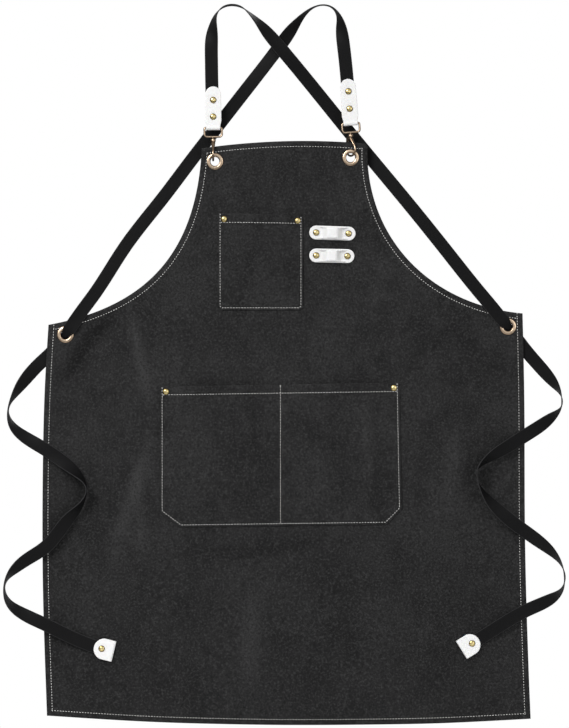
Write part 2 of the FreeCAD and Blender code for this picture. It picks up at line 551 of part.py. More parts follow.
def gate_spring():
    """Two coils round the pin, one each side of the ear."""
    coils = []
    for x in (-SLOT_HALF + 0.1, EAR_HALF + 0.1):
        room = SLOT_HALF - EAR_HALF - 0.2
        coil = Part.makeCylinder(1.2, room, PIN + Vector(x, 0, 0), Vector(1, 0, 0))
        coils.append(coil.cut(Part.makeCylinder(GATE_PIN + 0.1, 9, PIN - Vector(4, 0, 0), Vector(1, 0, 0))))
    return Part.makeCompound(coils)


for side in ("left", "right"):
    lean, turn = CLASP_LEAN[side], HOOK_TURN[side]
    parts[f"{side}_clasp_tab"] = stand(clasp_tab(TAB_LENGTH[side], TAB_RIVETS[side]), side, lean)
    reach = WEB / 2 + LEATHER
    caps = [rivet((0, d), -reach, reach) for d in TAB_RIVETS[side]]
    parts[f"{side}_clasp_rivets"] = stand(Part.makeCompound(caps), side, lean)
    parts[f"{side}_hook_eye"] = stand(hook_eye(lean), side, 0)
    moving = (("hook_body", hook_body()), ("hook_gate", hook_gate()), ("gate_pin", gate_pin()),
              ("gate_spring", gate_spring()))
    for name, piece in moving:
        piece.rotate(Vector(0, 0, 0), Vector(0, 0, 1), turn)
        parts[f"{side}_{name}"] = stand(piece, side, 0)


# ---------------------------------------------------------------- tool loops
def tool_loop(a, b):
    """Leather strip riveted at both ends, its middle bowed off the panel."""
    y0 = FRONT
    y1 = FRONT - LOOP_RISE
    x0, x1 = a[0] + LOOP_END - 2, b[0] - LOOP_END + 2
    ease = 4.5

    def edge_line(gap):
        low, high = y0 - gap, y1 - gap
        return [Vector(a[0] - LOOP_END, low, 0), Vector(x0, low, 0),
                Vector(x0 + ease, (low + high) / 2, 0), Vector(x0 + 2 * ease, high, 0),
                Vector(x1 - 2 * ease, high, 0), Vector(x1 - ease, (low + high) / 2, 0),
                Vector(x1, low, 0), Vector(b[0] + LOOP_END, low, 0)]

    inner, outer = edge_line(0), edge_line(LEATHER)
    path = Part.makePolygon(inner + outer[::-1] + inner[:1])
    strip = Part.Face(path).extrude(Vector(0, 0, 60))
    middle = (a[1] + b[1]) / 2
    strip.translate(Vector(0, 0, middle - 30))
    half = LOOP_HEIGHT / 2
    ax, bx = Vector(a[0], 0, a[1]), Vector(b[0], 0, b[1])
    up = Vector(0, 0, half)
    shape = [segment(ax + up, bx + up), bend(bx + up, bx + Vector(half, 0, 0), bx - up),
             segment(bx - up, ax - up), bend(ax - up, ax - Vector(half, 0, 0), ax + up)]
    loop = strip.common(plate(shape, -40, 0))
    return bore(loop, [a, b], RIVET_POST + FIT)


loop_rivets = []
for name, (a, b) in TOOL_LOOPS.items():
    parts[f"{name}_tool_loop"] = tool_loop(a, b)
    loop_rivets += [rivet(a, FRONT - LEATHER, BACK), rivet(b, FRONT - LEATHER, BACK)]
parts["tool_loop_rivets"] = Part.makeCompound(loop_rivets)
layers = FRONT - POCKET_CLOTH
parts["chest_pocket_rivets"] = Part.makeCompound([rivet(c, layers, BACK) for c in CHEST_RIVETS])
parts["lower_pocket_rivets"] = Part.makeCompound([rivet(c, layers, BACK) for c in LOWER_RIVETS])

for name, shape in parts.items():
    solids = shape.Solids
    shape = solids[0] if len(solids) == 1 else Part.makeCompound(solids)
    shape.exportStep(f"parts/{name}.step")
    box = shape.BoundBox
    print(f"{name}: {len(shape.Solids)} solid, {shape.Volume:.0f} mm3, valid {shape.isValid()}, "
          f"x {box.XMin:.0f}..{box.XMax:.0f} y {box.YMin:.1f}..{box.YMax:.1f} z {box.ZMin:.0f}..{box.ZMax:.0f}")
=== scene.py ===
"""Looks of the hanging cross-back apron: waxed canvas, webbing, white leather and antique brass."""
import math
import random

import bpy
import numpy as np
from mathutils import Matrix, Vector, noise
from mathutils.geometry import delaunay_2d_cdt


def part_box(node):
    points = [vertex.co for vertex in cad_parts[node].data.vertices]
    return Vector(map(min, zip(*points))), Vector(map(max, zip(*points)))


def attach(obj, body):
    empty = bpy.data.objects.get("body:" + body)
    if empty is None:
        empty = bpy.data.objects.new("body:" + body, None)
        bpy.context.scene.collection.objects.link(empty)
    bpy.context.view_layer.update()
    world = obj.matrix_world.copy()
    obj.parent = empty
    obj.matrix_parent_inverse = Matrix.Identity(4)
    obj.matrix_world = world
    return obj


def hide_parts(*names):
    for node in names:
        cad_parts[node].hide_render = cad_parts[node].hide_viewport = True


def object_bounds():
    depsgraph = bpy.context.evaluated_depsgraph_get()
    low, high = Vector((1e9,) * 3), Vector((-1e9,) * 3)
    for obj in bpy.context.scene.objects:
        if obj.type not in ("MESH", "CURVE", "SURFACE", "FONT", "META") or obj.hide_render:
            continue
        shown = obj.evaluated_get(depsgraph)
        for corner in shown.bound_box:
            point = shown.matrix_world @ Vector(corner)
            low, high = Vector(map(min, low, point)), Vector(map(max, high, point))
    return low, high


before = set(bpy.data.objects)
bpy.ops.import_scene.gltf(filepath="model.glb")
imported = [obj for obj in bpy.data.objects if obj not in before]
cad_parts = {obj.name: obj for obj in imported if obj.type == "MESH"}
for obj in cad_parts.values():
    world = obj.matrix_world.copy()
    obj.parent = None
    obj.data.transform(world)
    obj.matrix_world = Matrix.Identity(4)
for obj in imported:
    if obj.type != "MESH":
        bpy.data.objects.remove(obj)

CAD_LOW, CAD_HIGH = [list(corner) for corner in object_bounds()]
MM = 0.001

# ---------------------------------------------------------------- sizes, mm
CLOTH = 1.2                     # canvas, front face at -CLOTH / 2 of the panel's middle plane
HEM = 11.0                      # turned hem
GRID = 5.5                      # mesh size of the panel
STITCH_INSET, STITCH_PITCH, STITCH_LONG = 8.0, 4.0, 2.0
THREAD = 0.45                   # radius of the topstitching thread
WANDER = 0.12                   # how far a stitch strays from its line
EYELET_HOLE, EYELET_BARE = 7.0, 12.2    # radius of the hole, and of the cloth left without stitches
WEB_WIDTH = 19.0
WEB = 1.5
LEATHER = 1.8
GROMMETS = [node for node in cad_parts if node.endswith("grommet")]
SIDES = ("left", "right")


def spot(node):
    """(x, z) of a CAD node's middle, in mm."""
    (xa, _, za), (xb, _, zb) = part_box(node)
    return (xa / MM + xb / MM) / 2, (za / MM + zb / MM) / 2


def ease(t):
    t = np.clip(t, 0, 1)
    return t * t * (3 - 2 * t)


# ---------------------------------------------------------------- node trees
class Nodes:
    """A node tree written as short calls."""

    def __init__(self, tree):
        self.tree = tree
        self.place = self.node("TexCoord").outputs

    def node(self, kind, links=(), **values):
        made = self.tree.nodes.new("ShaderNode" + kind)
        for key, value in values.items():
            if key in made.inputs:
                made.inputs[key].default_value = value
            else:
                setattr(made, key, value)
        for socket, source in links:
            self.tree.links.new(source, made.inputs[socket])
        return made

    def axis(self, vector, letter):
        return self.node("SeparateXYZ", [("Vector", vector)]).outputs[letter]

    def noise(self, scale, detail=3.0, rough=0.5, stretch=(1, 1, 1)):
        mapping = self.node("Mapping", [("Vector", self.place["Object"])], Scale=stretch)
        return self.node("TexNoise", [("Vector", mapping.outputs[0])],
                         Scale=scale, Detail=detail, Roughness=rough).outputs["Fac"]

    def wave(self, scale, direction, coords="Object", distortion=0.0):
        return self.node("TexWave", [("Vector", self.place[coords])], bands_direction=direction,
                         Scale=scale, Distortion=distortion).outputs["Fac"]

    def math(self, operation, a, b=0.5, clamp=False):
        made = self.node("Math", operation=operation, use_clamp=clamp)
        self.feed(made, ((0, a), (1, b)))
        return made.outputs[0]

    def mix(self, fac, a, b):
        made = self.node("Mix", data_type="RGBA")
        self.feed(made, ((0, fac), (6, a), (7, b)))
        return made.outputs[2]

    def feed(self, made, values):
        """Gives sockets a number, a colour or a link."""
        for i, value in values:
            if isinstance(value, tuple):
                made.inputs[i].default_value = (*value, 1)
            elif isinstance(value, (int, float)):
                made.inputs[i].default_value = value
            else:
                self.tree.links.new(value, made.inputs[i])

    def over(self, base, colour, mask, share):
        """Lays a colour over the base where the mask is high, by a share of it."""
        return self.mix(self.math("MULTIPLY", mask, share, clamp=True), base, colour)

    def ramp(self, source, stops):
        made = self.node("ValToRGB", [("Fac", source)])
        while len(made.color_ramp.elements) < len(stops):
            made.color_ramp.elements.new(0.5)
        for element, (position, colour) in zip(made.color_ramp.elements, stops):
            element.position, element.color = position, (*colour, 1)
        return made.outputs["Color"]

    def band(self, source, black, white):
        """Spreads the source from black at one value to white at another."""
        return self.ramp(source, sorted([(black, (0, 0, 0)), (white, (1, 1, 1))]))

    def blend(self, fac, first, second, output):
        """Mixes two shaders into the tree's output."""
        made = self.node("MixShader", [("Fac", fac), (1, first.outputs[0]), (2, second.outputs[0])])
        self.tree.links.new(made.outputs[0], self.tree.nodes[output].inputs["Surface"])


class Recipe(Nodes):
    """A material around the standard surface shader."""

    def __init__(self, name, settings):
        self.material = bpy.data.materials.new(name)
        self.material.use_nodes = True
        super().__init__(self.material.node_tree)
        self.shader = self.tree.nodes["Principled BSDF"]
        for key, value in settings.items():
            self.shader.inputs[key].default_value = value

    def finish(self, colour, tone, roughness, layers):
        """Links colour, roughness over a range by tone, and bumps of (height source, strength, metres)."""
        self.tree.links.new(colour, self.shader.inputs["Base Color"])
        if tone is not None:
            low, high = roughness
            spread = self.node("MapRange", [("Value", tone)], **{"To Min": low, "To Max": high})
            self.tree.links.new(spread.outputs[0], self.shader.inputs["Roughness"])
        below = None
        for source, strength, distance in layers:
            links = [("Height", source)] + ([("Normal", below)] if below else [])
            below = self.node("Bump", links, Strength=strength, Distance=distance).outputs[0]
        if below:
            self.tree.links.new(below, self.shader.inputs["Normal"])
        return self.material


def shade(colour, factor):
    return tuple(c * factor for c in colour)


# ---------------------------------------------------------------- camera, light and floor, in metres
CAMERA_PLACE = (-0.0017, -6.0, -0.5165)
VIEW_HEIGHT = 1.0495            # the frame's height at the apron
LIGHTS = (("key", (-1.5, -2.2, 1.0), 1.2, 64), ("fill", (2.2, -2.4, -0.1), 2.0, 20),
          ("rim", (0.6, 2.4, 0.9), 1.6, 14))                # place, size, power
ROOM_STRENGTH = 0.62
FLOOR_REACH, FLOOR_GAP, FLOOR_SIDES = 1.15, 0.12, 96


def add_object(name, data, location=(0, 0, 0)):
    thing = bpy.data.objects.new(name, data)
    thing.location = location
    bpy.context.collection.objects.link(thing)
    return thing


def set_world():
    """White paper for the camera, and for the rest a room that darkens downwards, for form in the metal."""
    world = bpy.data.worlds.new("studio")
    bpy.context.scene.world = world
    world.use_nodes = True
    n = Nodes(world.node_tree)
    height = n.node("MapRange", [("Value", n.axis(n.place["Generated"], "Z"))], **{"From Min": -0.6})
    grey = n.ramp(height.outputs[0], [(0.0, (0.14, 0.14, 0.1414)), (0.75, (1.25, 1.25, 1.2625))])
    room = n.tree.nodes["Background"]
    n.tree.links.new(grey, room.inputs["Color"])
    room.inputs["Strength"].default_value = ROOM_STRENGTH
    paper = n.node("Background", Color=(1, 1, 1, 1))
    n.blend(n.node("LightPath").outputs["Is Camera Ray"], room, paper, "World Output")


def floor_material():
    """Pale floor whose rim fades into the white of the paper behind it."""
    r = Recipe("pale_floor", {"Base Color": (0.90, 0.90, 0.90, 1), "Roughness": 0.8, "Metallic": 0.0})
    spread = r.node("VectorMath", [("Vector", r.place["Object"])], operation="LENGTH")
    rim = r.node("MapRange", [("Value", spread.outputs["Value"])], interpolation_type="SMOOTHSTEP",
                 **{"From Min": 0.35 * FLOOR_REACH, "From Max": 0.98 * FLOOR_REACH})
    r.blend(rim.outputs[0], r.shader, r.node("Emission"), "Material Output")
    return r.material


def set_stage():
    cam_data = bpy.data.cameras.new("camera")
    cam_data.lens = cam_data.sensor_width * -CAMERA_PLACE[1] / VIEW_HEIGHT
    cam = add_object("camera", cam_data, CAMERA_PLACE)
    cam.rotation_euler = (math.pi / 2, 0, 0)
    bpy.context.scene.camera = cam
    bpy.context.scene.view_settings.view_transform = "Standard"
    set_world()

    centre = (Vector(CAD_LOW) + Vector(CAD_HIGH)) / 2
    for name, place, size, power in LIGHTS:
        data = bpy.data.lights.new(name, "AREA")
        data.energy, data.size = power, size
        lamp = add_object(name, data, place)
        lamp.rotation_euler = (centre - Vector(place)).to_track_quat("-Z", "Y").to_euler()

    mesh = bpy.data.meshes.new("floor")
    rim = arc_points((0, 0), FLOOR_REACH, 0, 360, FLOOR_SIDES)[:-1]
    mesh.from_pydata([(x, y, 0) for x, y in rim], [], [tuple(range(FLOOR_SIDES))])
    mesh.materials.append(floor_material())
    add_object("floor", mesh, (0, 0, CAD_LOW[2] - FLOOR_GAP))


# ---------------------------------------------------------------- materials
def canvas_material(dark, light):
    """Waxed cotton canvas: plain weave, pale flecks, clouds where the wax is worn, darker towards the bottom,
    the creases' valleys painted dark as painted shade, and their ridges painted pale, partly as worn wax and
    partly as painted highlight.
    """
    r = Recipe("waxed_canvas", {"Sheen Weight": 0.03, "Sheen Roughness": 0.5, "Specular IOR Level": 0.12})
    weave = r.math("MULTIPLY", r.wave(210, "X", distortion=0.6), r.wave(210, "Z", distortion=0.6))
    flecks = r.noise(330, 3.0, 0.7)
    slub = r.noise(70, 3.0, 0.6, (1, 1, 8))
    cloud = r.band(r.noise(10, 8.0, 0.66), 0.42, 0.58)
    rubs = r.band(r.noise(34, 6.0, 0.7, (1.6, 1, 0.8)), 0.46, 0.66)
    low = r.math("MULTIPLY", r.math("ADD", r.axis(r.place["Object"], "Z"), 0.62), -2.6, clamp=True)
    # UV x carries the creases' depth: their valleys are painted dark as painted shade, their ridges pale,
    # partly as worn wax and partly as painted highlight.
    crease_shade_and_wear = r.axis(r.place["UV"], "X")
    base = r.mix(cloud, dark, light)
    for mask, share, colour in (
            (rubs, 0.40, shade(light, 1.5)), (slub, 0.2, dark), (low, 0.38, shade(dark, 0.55)),
            (crease_shade_and_wear, 0.75, shade(dark, 0.6)), (crease_shade_and_wear, -0.9, shade(light, 1.9)),
            (r.band(flecks, 0.48, 0.64), 0.45, shade(light, 2.4)),
            (r.band(r.noise(290, 3.0, 0.7), 0.52, 0.38), 0.55, shade(dark, 0.4))):
        base = r.over(base, colour, mask, share)
    return r.finish(base, cloud, (0.62, 0.84), [(cloud, 0.25, 0.002), (slub, 0.3, 0.0004),
                                                (weave, 0.5, 0.00025), (flecks, 0.35, 0.0003)])


def webbing_material():
    """Flat woven polyester: ribs across, warp cords along, smooth selvages, and both edges painted paler as a
    painted highlight.
    """
    r = Recipe("webbing", {"Specular IOR Level": 0.08})
    ribs, cords = r.wave(260, "Y", "UV"), r.wave(330, "X", "UV")
    height = r.math("ADD", r.math("MULTIPLY", ribs, 0.6), r.math("MULTIPLY", cords, 0.5))
    tone = r.noise(40, 3.0)
    from_middle = r.math("ABSOLUTE", r.axis(r.place["UV"], "X"))
    edge_highlight = r.math("MULTIPLY", r.math("SUBTRACT", from_middle, 0.0085), 1300.0, clamp=True)
    base = r.mix(ribs, (0.0025, 0.0025, 0.0027), (0.0076, 0.0076, 0.0078))
    base = r.over(base, (0.0055, 0.0055, 0.0058), tone, 0.5)
    # Painted highlight: the webbing's edges painted paler, as if catching the light.
    base = r.over(base, (0.040, 0.040, 0.041), edge_highlight, 0.6)
    return r.finish(base, tone, (0.42, 0.62), [(tone, 0.2, 0.0006), (height, 0.4, 0.0002)])


def leather_material():
    """Smooth white leather with a fine pebbled grain and slightly greyed hollows."""
    r = Recipe("leather", {"Subsurface Weight": 0.04})
    pores = r.node("TexVoronoi", [("Vector", r.place["Object"])], Scale=900).outputs["Distance"]
    cloud = r.noise(60, 4.0)
    crease = r.noise(260, 5.0, 0.65, (1, 1, 1.6))
    base = r.mix(cloud, (0.76, 0.745, 0.735), (0.825, 0.815, 0.805))
    base = r.over(base, (0.60, 0.575, 0.55), crease, 0.14)
    return r.finish(base, crease, (0.36, 0.58), [(cloud, 0.2, 0.0008), (crease, 0.35, 0.0003),
                                                 (pores, 0.25, 0.00018)])


def brass_material(name, dark, warm, pale):
    """Antique brass: painted brown as painted shade where the surface turns away from front and back, painted
    bright as a painted highlight where it faces them, varied at random, and lightly scratched.
    """
    r = Recipe(name, {"Metallic": 1.0})
    cloud = r.noise(160, 4.0, 0.6)
    scratch = r.noise(900, 3.0, 0.6, (1, 1, 9))
    pits = r.noise(1500, 2.0)
    # How far the surface faces front or back: painted highlight where it faces them, painted shade where it
    # turns away.
    facing = r.math("ABSOLUTE", r.axis(r.node("NewGeometry").outputs["Normal"], "Y"))
    painted_highlight = r.math("MULTIPLY", r.math("SUBTRACT", facing, 0.80), 5.5, clamp=True)
    patina_and_painted_light = r.math("ADD", r.math("MULTIPLY", painted_highlight, 0.62), r.math("MULTIPLY", cloud, 0.5))
    base = r.over(r.ramp(patina_and_painted_light, [(0.28, dark), (0.62, warm), (0.95, pale)]), pale, scratch, 0.15)
    return r.finish(base, cloud, (0.36, 0.22), [(scratch, 0.2, 0.00006), (pits, 0.15, 0.00004)])


def thread_material(tint, ground):
    """Twisted sewing thread: fine ply and a soft fuzz."""
    r = Recipe("topstitching", {"Roughness": 0.7, "Metallic": 0.0, "Sheen Weight": 0.2})
    ply = r.noise(2600, 2.0)
    base = r.over(r.mix(r.noise(24, 3.0), tint, ground), shade(ground, 0.6), ply, 0.35)
    return r.finish(base, None, None, [(ply, 0.5, 0.0001)])


def steel_material():
    r = Recipe("spring_steel", {"Metallic": 1.0})
    tone = r.noise(700, 3.0)
    return r.finish(r.mix(tone, (0.42, 0.41, 0.40), (0.66, 0.65, 0.63)), tone, (0.22, 0.4), [])


# ---------------------------------------------------------------- mesh helpers, lengths in mm
def build(name, shape, material, nodes, body="apron", uvs=None):
    """A smooth-shaded piece from points in mm, which rides on a body and stands for CAD nodes."""
    points, faces = shape
    mesh = bpy.data.meshes.new(name)
    mesh.from_pydata([(x * MM, y * MM, z * MM) for x, y, z in points], [], faces)
    mesh.validate()
    if uvs is not None:
        layer = mesh.uv_layers.new(name="length")
        index = np.empty(len(mesh.loops), dtype=np.int32)
        mesh.loops.foreach_get("vertex_index", index)
        layer.data.foreach_set("uv", np.asarray(uvs, dtype=np.float32)[index].ravel())
    mesh.polygons.foreach_set("use_smooth", [True] * len(mesh.polygons))
    mesh.materials.append(material)
    piece = add_object(name, mesh)
    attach(piece, body)
    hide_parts(*nodes)
    return piece


class Batch:
    """Many small shapes gathered into one."""

    def __init__(self):
        self.points, self.faces = [], []

    def add(self, points, faces):
        start = len(self.points)
        self.points += [tuple(p) for p in points]
        self.faces += [tuple(i + start for i in face) for face in faces]

    def shape(self):
        return self.points, self.faces


def turned(points, place, angle, layer=0.0):
    """Points of (x, y, z) turned by an angle in the panel's plane and moved to their place."""
    c, s = math.cos(angle), math.sin(angle)
    return [(place[0] + x * c - z * s, layer + y, place[1] + z * c + x * s) for x, y, z in points]


def arc_points(centre, radius, start, end, count):
    return [(centre[0] + radius * math.cos(math.radians(start + (end - start) * i / count)),
             centre[1] + radius * math.sin(math.radians(start + (end - start) * i / count)))
            for i in range(count + 1)]


def resample(points, step):
    """A closed outline as evenly spaced points, its sharp corners kept."""
    result = []
    for a, b in zip(points, points[1:] + points[:1]):
        length = math.dist(a, b)
        count = max(1, round(length / step))
        result += [(a[0] + (b[0] - a[0]) * i / count, a[1] + (b[1] - a[1]) * i / count)
                   for i in range(count)]
    return result


def area_of(points):
    return sum(a[0] * b[1] - b[0] * a[1] for a, b in zip(points, points[1:] + points[:1])) / 2


def inset_loop(points, amount):
    """A closed anticlockwise outline moved inwards along its corner normals."""
    moved = []
    count = len(points)
    for i in range(count):
        a, p, b = points[i - 1], points[i], points[(i + 1) % count]
        ua = Vector((p[0] - a[0], p[1] - a[1])).normalized()
        ub = Vector((b[0] - p[0], b[1] - p[1])).normalized()
        normal = Vector((-(ua.y + ub.y), ua.x + ub.x))
        if normal.length < 1e-6:
            normal = Vector((-ua.y, ua.x))
        normal.normalize()
        stretch = min(1.6, 1 / max(0.4, normal.dot(Vector((-ua.y, ua.x)))))
        moved.append((p[0] + normal.x * amount * stretch, p[1] + normal.y * amount * stretch))
    return moved


def edge_distance(xz, loops):
    """Distance from each point to the nearest edge of the loops."""
    best = np.full(len(xz), 1e9)
    for loop in loops:
        a = np.array(loop)
        b = np.roll(a, -1, axis=0)
        for start in range(0, len(a), 40):
            p, q = a[start:start + 40], b[start:start + 40]
            d = q - p
            rel = xz[:, None, :] - p[None]
            t = np.clip((rel * d).sum(2) / np.maximum((d * d).sum(1), 1e-9), 0, 1)
            gap = np.linalg.norm(rel - t[..., None] * d, axis=2).min(1)
            best = np.minimum(best, gap)
    return best


def in_outline(points, loop):
    """Even-odd test of points against a closed outline."""
    x, z = points[:, 0], points[:, 1]
    inside = np.zeros(len(points), dtype=bool)
    for (xa, za), (xb, zb) in zip(loop, loop[1:] + loop[:1]):
        if za == zb:
            continue
        crosses = (za > z) != (zb > z)
        inside ^= crosses & (x < (xb - xa) * (z - za) / (zb - za) + xa)
    return inside


def stations_of(points):
    """Distance along a line at each of its points."""
    stations = [0.0]
    for a, b in zip(points, points[1:]):
        stations.append(stations[-1] + math.dist(a, b))
    return stations


def natural_spline(stations, values):
    """Coefficients of a smooth curve through values at stations; returns a function of station."""
    s, v = np.array(stations, dtype=float), np.array(values, dtype=float)
    n, h = len(s), np.diff(np.array(stations, dtype=float))
    a = np.zeros((n, n))
    r = np.zeros((n, v.shape[1]))
    a[0, 0] = a[-1, -1] = 1
    for i in range(1, n - 1):
        a[i, i - 1], a[i, i], a[i, i + 1] = h[i - 1], 2 * (h[i - 1] + h[i]), h[i]
        r[i] = 6 * ((v[i + 1] - v[i]) / h[i] - (v[i] - v[i - 1]) / h[i - 1])
    m = np.linalg.solve(a, r)

    def at(t):
        t = np.clip(np.asarray(t, dtype=float), s[0], s[-1])
        k = np.clip(np.searchsorted(s, t, side="right") - 1, 0, n - 2)
        u, w, g = (t - s[k])[:, None], (s[k + 1] - t)[:, None], h[k][:, None]
        return (m[k] * w ** 3 + m[k + 1] * u ** 3) / (6 * g) \
            + (v[k] / g - m[k] * g / 6) * w + (v[k + 1] / g - m[k + 1] * g / 6) * u
    return at


ROW_SHARE = 0.866               # height of an even triangle with sides of one


def triangulate(outer, holes, rings, step):
    """Points and faces of even triangles in an outline with holes; rings are extra lines the mesh follows."""
    loops = [outer] + holes + rings
    points, edges = [], []
    for loop in loops:
        start = len(points)
        points += loop
        edges += [(start + i, start + (i + 1) % len(loop)) for i in range(len(loop))]
    xs, zs = [p[0] for p in outer], [p[1] for p in outer]
    rows = int((max(zs) - min(zs)) / (step * ROW_SHARE))
    columns = int((max(xs) - min(xs)) / step)
    grid = np.array([(min(xs) + (j + 0.5 * (i % 2)) * step, min(zs) + i * step * ROW_SHARE)
                     for i in range(1, rows + 1) for j in range(columns + 1)])
    clear = edge_distance(grid, loops) > step * 0.45
    points += [tuple(p) for p in grid[clear]]
    verts, _, faces, *_ = delaunay_2d_cdt([Vector(p) for p in points], edges, [], 0, 1e-5)
    xz = np.array([(v.x, v.y) for v in verts])
    centres = np.array([[sum(xz[i][k] for i in face) / len(face) for k in (0, 1)] for face in faces])
    inside = in_outline(centres, outer)
    for hole in holes:
        inside &= ~in_outline(centres, hole)
    faces = [face for face, kept in zip(faces, inside) if kept]
    used = sorted({i for face in faces for i in face})
    index = {old: new for new, old in enumerate(used)}
    return xz[used], [tuple(index[i] for i in face) for face in faces]


def sheet_shell(flat, faces, front, back):
    """A closed shell: a flat mesh's faces on two surfaces, and a wall along every open edge."""
    count, solid, sides = len(flat), [], {}
    for face in faces:
        a, b, c = (flat[i] for i in face[:3])
        turn = (b[0] - a[0]) * (c[1] - a[1]) - (b[1] - a[1]) * (c[0] - a[0])
        face = face if turn > 0 else face[::-1]
        solid += [face, tuple(i + count for i in face[::-1])]
        sides.update(dict.fromkeys(zip(face, face[1:] + face[:1])))
    solid += [(j, i, i + count, j + count) for i, j in sides if (j, i) not in sides]
    return front + back, solid


def cloth_piece(outer, holes, rings, step, front, back, roll=0.3):
    """A closed sheet over an anticlockwise outline; roll is the share of its thickness lost at the rims.

    front and back give a surface's depth for arrays of x, z and distance to the rim.
    """
    xz, faces = triangulate(outer, holes, rings, step)
    rim = edge_distance(xz, [outer] + holes)
    y_front, y_back = front(xz[:, 0], xz[:, 1], rim), back(xz[:, 0], xz[:, 1], rim)
    tuck = np.where(rim < 0.01, (y_back - y_front) * roll, 0)
    surfaces = [[(x, y, z) for (x, z), y in zip(xz, depth)] for depth in (y_front + tuck, y_back - tuck)]
    return sheet_shell(xz, faces, *surfaces)


def ring_faces(rings, steps, closed=False):
    """Quads between successive rings of points; an open row of rings gets flat ends."""
    faces = []
    for i in range(rings if closed else rings - 1):
        for k in range(steps):
            n, j = (k + 1) % steps, (i + 1) % rings
            faces.append((i * steps + k, i * steps + n, j * steps + n, j * steps + k))
    if not closed:
        faces.append(tuple(range(steps))[::-1])
        faces.append(tuple((rings - 1) * steps + k for k in range(steps)))
    return faces


def circle(centre, side, other, radius, steps):
    """Points round a centre, in the plane of two unit vectors."""
    angles = [2 * math.pi * k / steps for k in range(steps)]
    return [centre + (side * math.cos(a) + other * math.sin(a)) * radius for a in angles]


def lathe(profile, centre, axis=(0, -1, 0), steps=28, close=True):
    """A turned shape: profile of (radius, height along the axis), in mm."""
    axis = Vector(axis).normalized()
    side = axis.orthogonal().normalized()
    points = []
    for radius, height in profile:
        points += circle(Vector(centre) + axis * height, side, axis.cross(side), radius, steps)
    return points, ring_faces(len(profile), steps, close)


def tube(path, radii, steps=14, domed=True):
    """A round rod along points, with a radius at each."""
    path = [Vector(p) for p in path]
    if domed:
        first, last = (path[0] - path[1]).normalized(), (path[-1] - path[-2]).normalized()
        caps = [(k, math.sqrt(1 - k * k)) for k in (0.45, 0.8, 0.98)]
        head = [(path[0] + first * radii[0] * k, radii[0] * share) for k, share in caps[::-1]]
        tail = [(path[-1] + last * radii[-1] * k, radii[-1] * share) for k, share in caps]
        path = [p for p, _ in head] + path + [p for p, _ in tail]
        radii = [r for _, r in head] + list(radii) + [r for _, r in tail]
    points, side = [], None
    for i, p in enumerate(path):
        along = (path[min(i + 1, len(path) - 1)] - path[max(i - 1, 0)]).normalized()
        side = along.orthogonal() if side is None else side - along * side.dot(along)
        side.normalize()
        points += circle(p, side, along.cross(side), radii[i], steps)
    return points, ring_faces(len(path), steps)


# ---------------------------------------------------------------- panel
TOP_LEFT, TOP_RIGHT = (-121.0, -205.5), (118.0, -199.0)
WAIST_LEFT, WAIST_RIGHT = (-342.0, -460.0), (341.5, -443.5)
HEM_LEFT, HEM_RIGHT = (-344.5, -1024.0), (353.5, -1028.5)
TOP_SAG, HEM_SAG = 7.0, 11.0
SIDE_LEFT = [(-347.0, -545.0), (-350.5, -700.0), (-350.0, -850.0)]
SIDE_RIGHT = [(344.0, -560.0), (345.0, -740.0), (348.5, -900.0)]
ARMHOLE_LEFT = [(-128.5, -353.0), (-196.0, -433.0)]
ARMHOLE_RIGHT = [(112.5, -334.0), (208.0, -431.5)]


def bowed(a, b, sag, count):
    """Shallow arc from a to b whose middle is moved by sag in z."""
    return [(a[0] + (b[0] - a[0]) * i / count,
             a[1] + (b[1] - a[1]) * i / count + sag * 4 * (i / count) * (1 - i / count))
            for i in range(count)]


def bezier(a, b, c, d, count):
    points = []
    for i in range(count):
        t = i / count
        w = ((1 - t) ** 3, 3 * t * (1 - t) ** 2, 3 * t * t * (1 - t), t ** 3)
        points.append(tuple(sum(k * p[axis] for k, p in zip(w, (a, b, c, d))) for axis in (0, 1)))
    return points


def side_line(points, count):
    stations = stations_of(points)
    curve = natural_spline(stations, points)
    return [tuple(p) for p in curve(np.linspace(0, stations[-1], count + 1)[:-1])]


def panel_outline():
    """Anticlockwise seen from the front, from the bib's top left down the left side."""
    loop = bezier(TOP_LEFT, *ARMHOLE_LEFT, WAIST_LEFT, 70)
    loop += side_line([WAIST_LEFT] + SIDE_LEFT + [HEM_LEFT], 100)
    loop += bowed(HEM_LEFT, HEM_RIGHT, -HEM_SAG, 120)
    loop += side_line([HEM_RIGHT] + SIDE_RIGHT[::-1] + [WAIST_RIGHT], 100)
    loop += bezier(WAIST_RIGHT, *ARMHOLE_RIGHT[::-1], TOP_RIGHT, 70)
    loop += bowed(TOP_RIGHT, TOP_LEFT, TOP_SAG, 40)
    return loop


# Places (x, z, radius) where the cloth is held flat by its hardware.
STILL = [(*spot(node), 24.0 if "waist" in node else 46.0) for node in GROMMETS]
STILL += [(*spot(f"{side}_tie_tab"), 60.0) for side in SIDES]


def wrinkle(x, z, scale, seed):
    """Smooth noise at points, from -1 to 1."""
    return np.array([noise.noise(Vector((a / scale, seed, b / scale))) for a, b in zip(x, z)])


# Creases the cloth keeps, each as (x, z) of both ends, how far it stands back from the panel, and its width.
CREASES = (
    (-235, -442, -342, -561, 8.0, 15), (-224, -430, -188, -604, -4.0, 9), (-189, -602, -259, -836, -3.2, 11),
    (-294, -648, -270, -745, 3.0, 15), (-219, -640, -200, -838, -2.4, 9), (-92, -262, -140, -392, 2.6, 10),
    (236, -456, 340, -556, 3.4, 15), (148, -548, 246, -462, 2.4, 13), (186, -1028, 330, -800, 3.2, 18),
    (-150, -802, 112, -770, 4.2, 12), (116, -560, 119, -676, -2.2, 8), (60, -420, 20, -470, 1.6, 11),
    (-40, -830, -64, -1010, -2.6, 15), (84, -800, 112, -1000, 2.4, 17), (250, -590, 226, -760, -2.4, 13),
    (150, -350, 118, -470, -1.8, 12), (-120, -590, -50, -672, 1.8, 11), (40, -600, 84, -672, 1.6, 10))


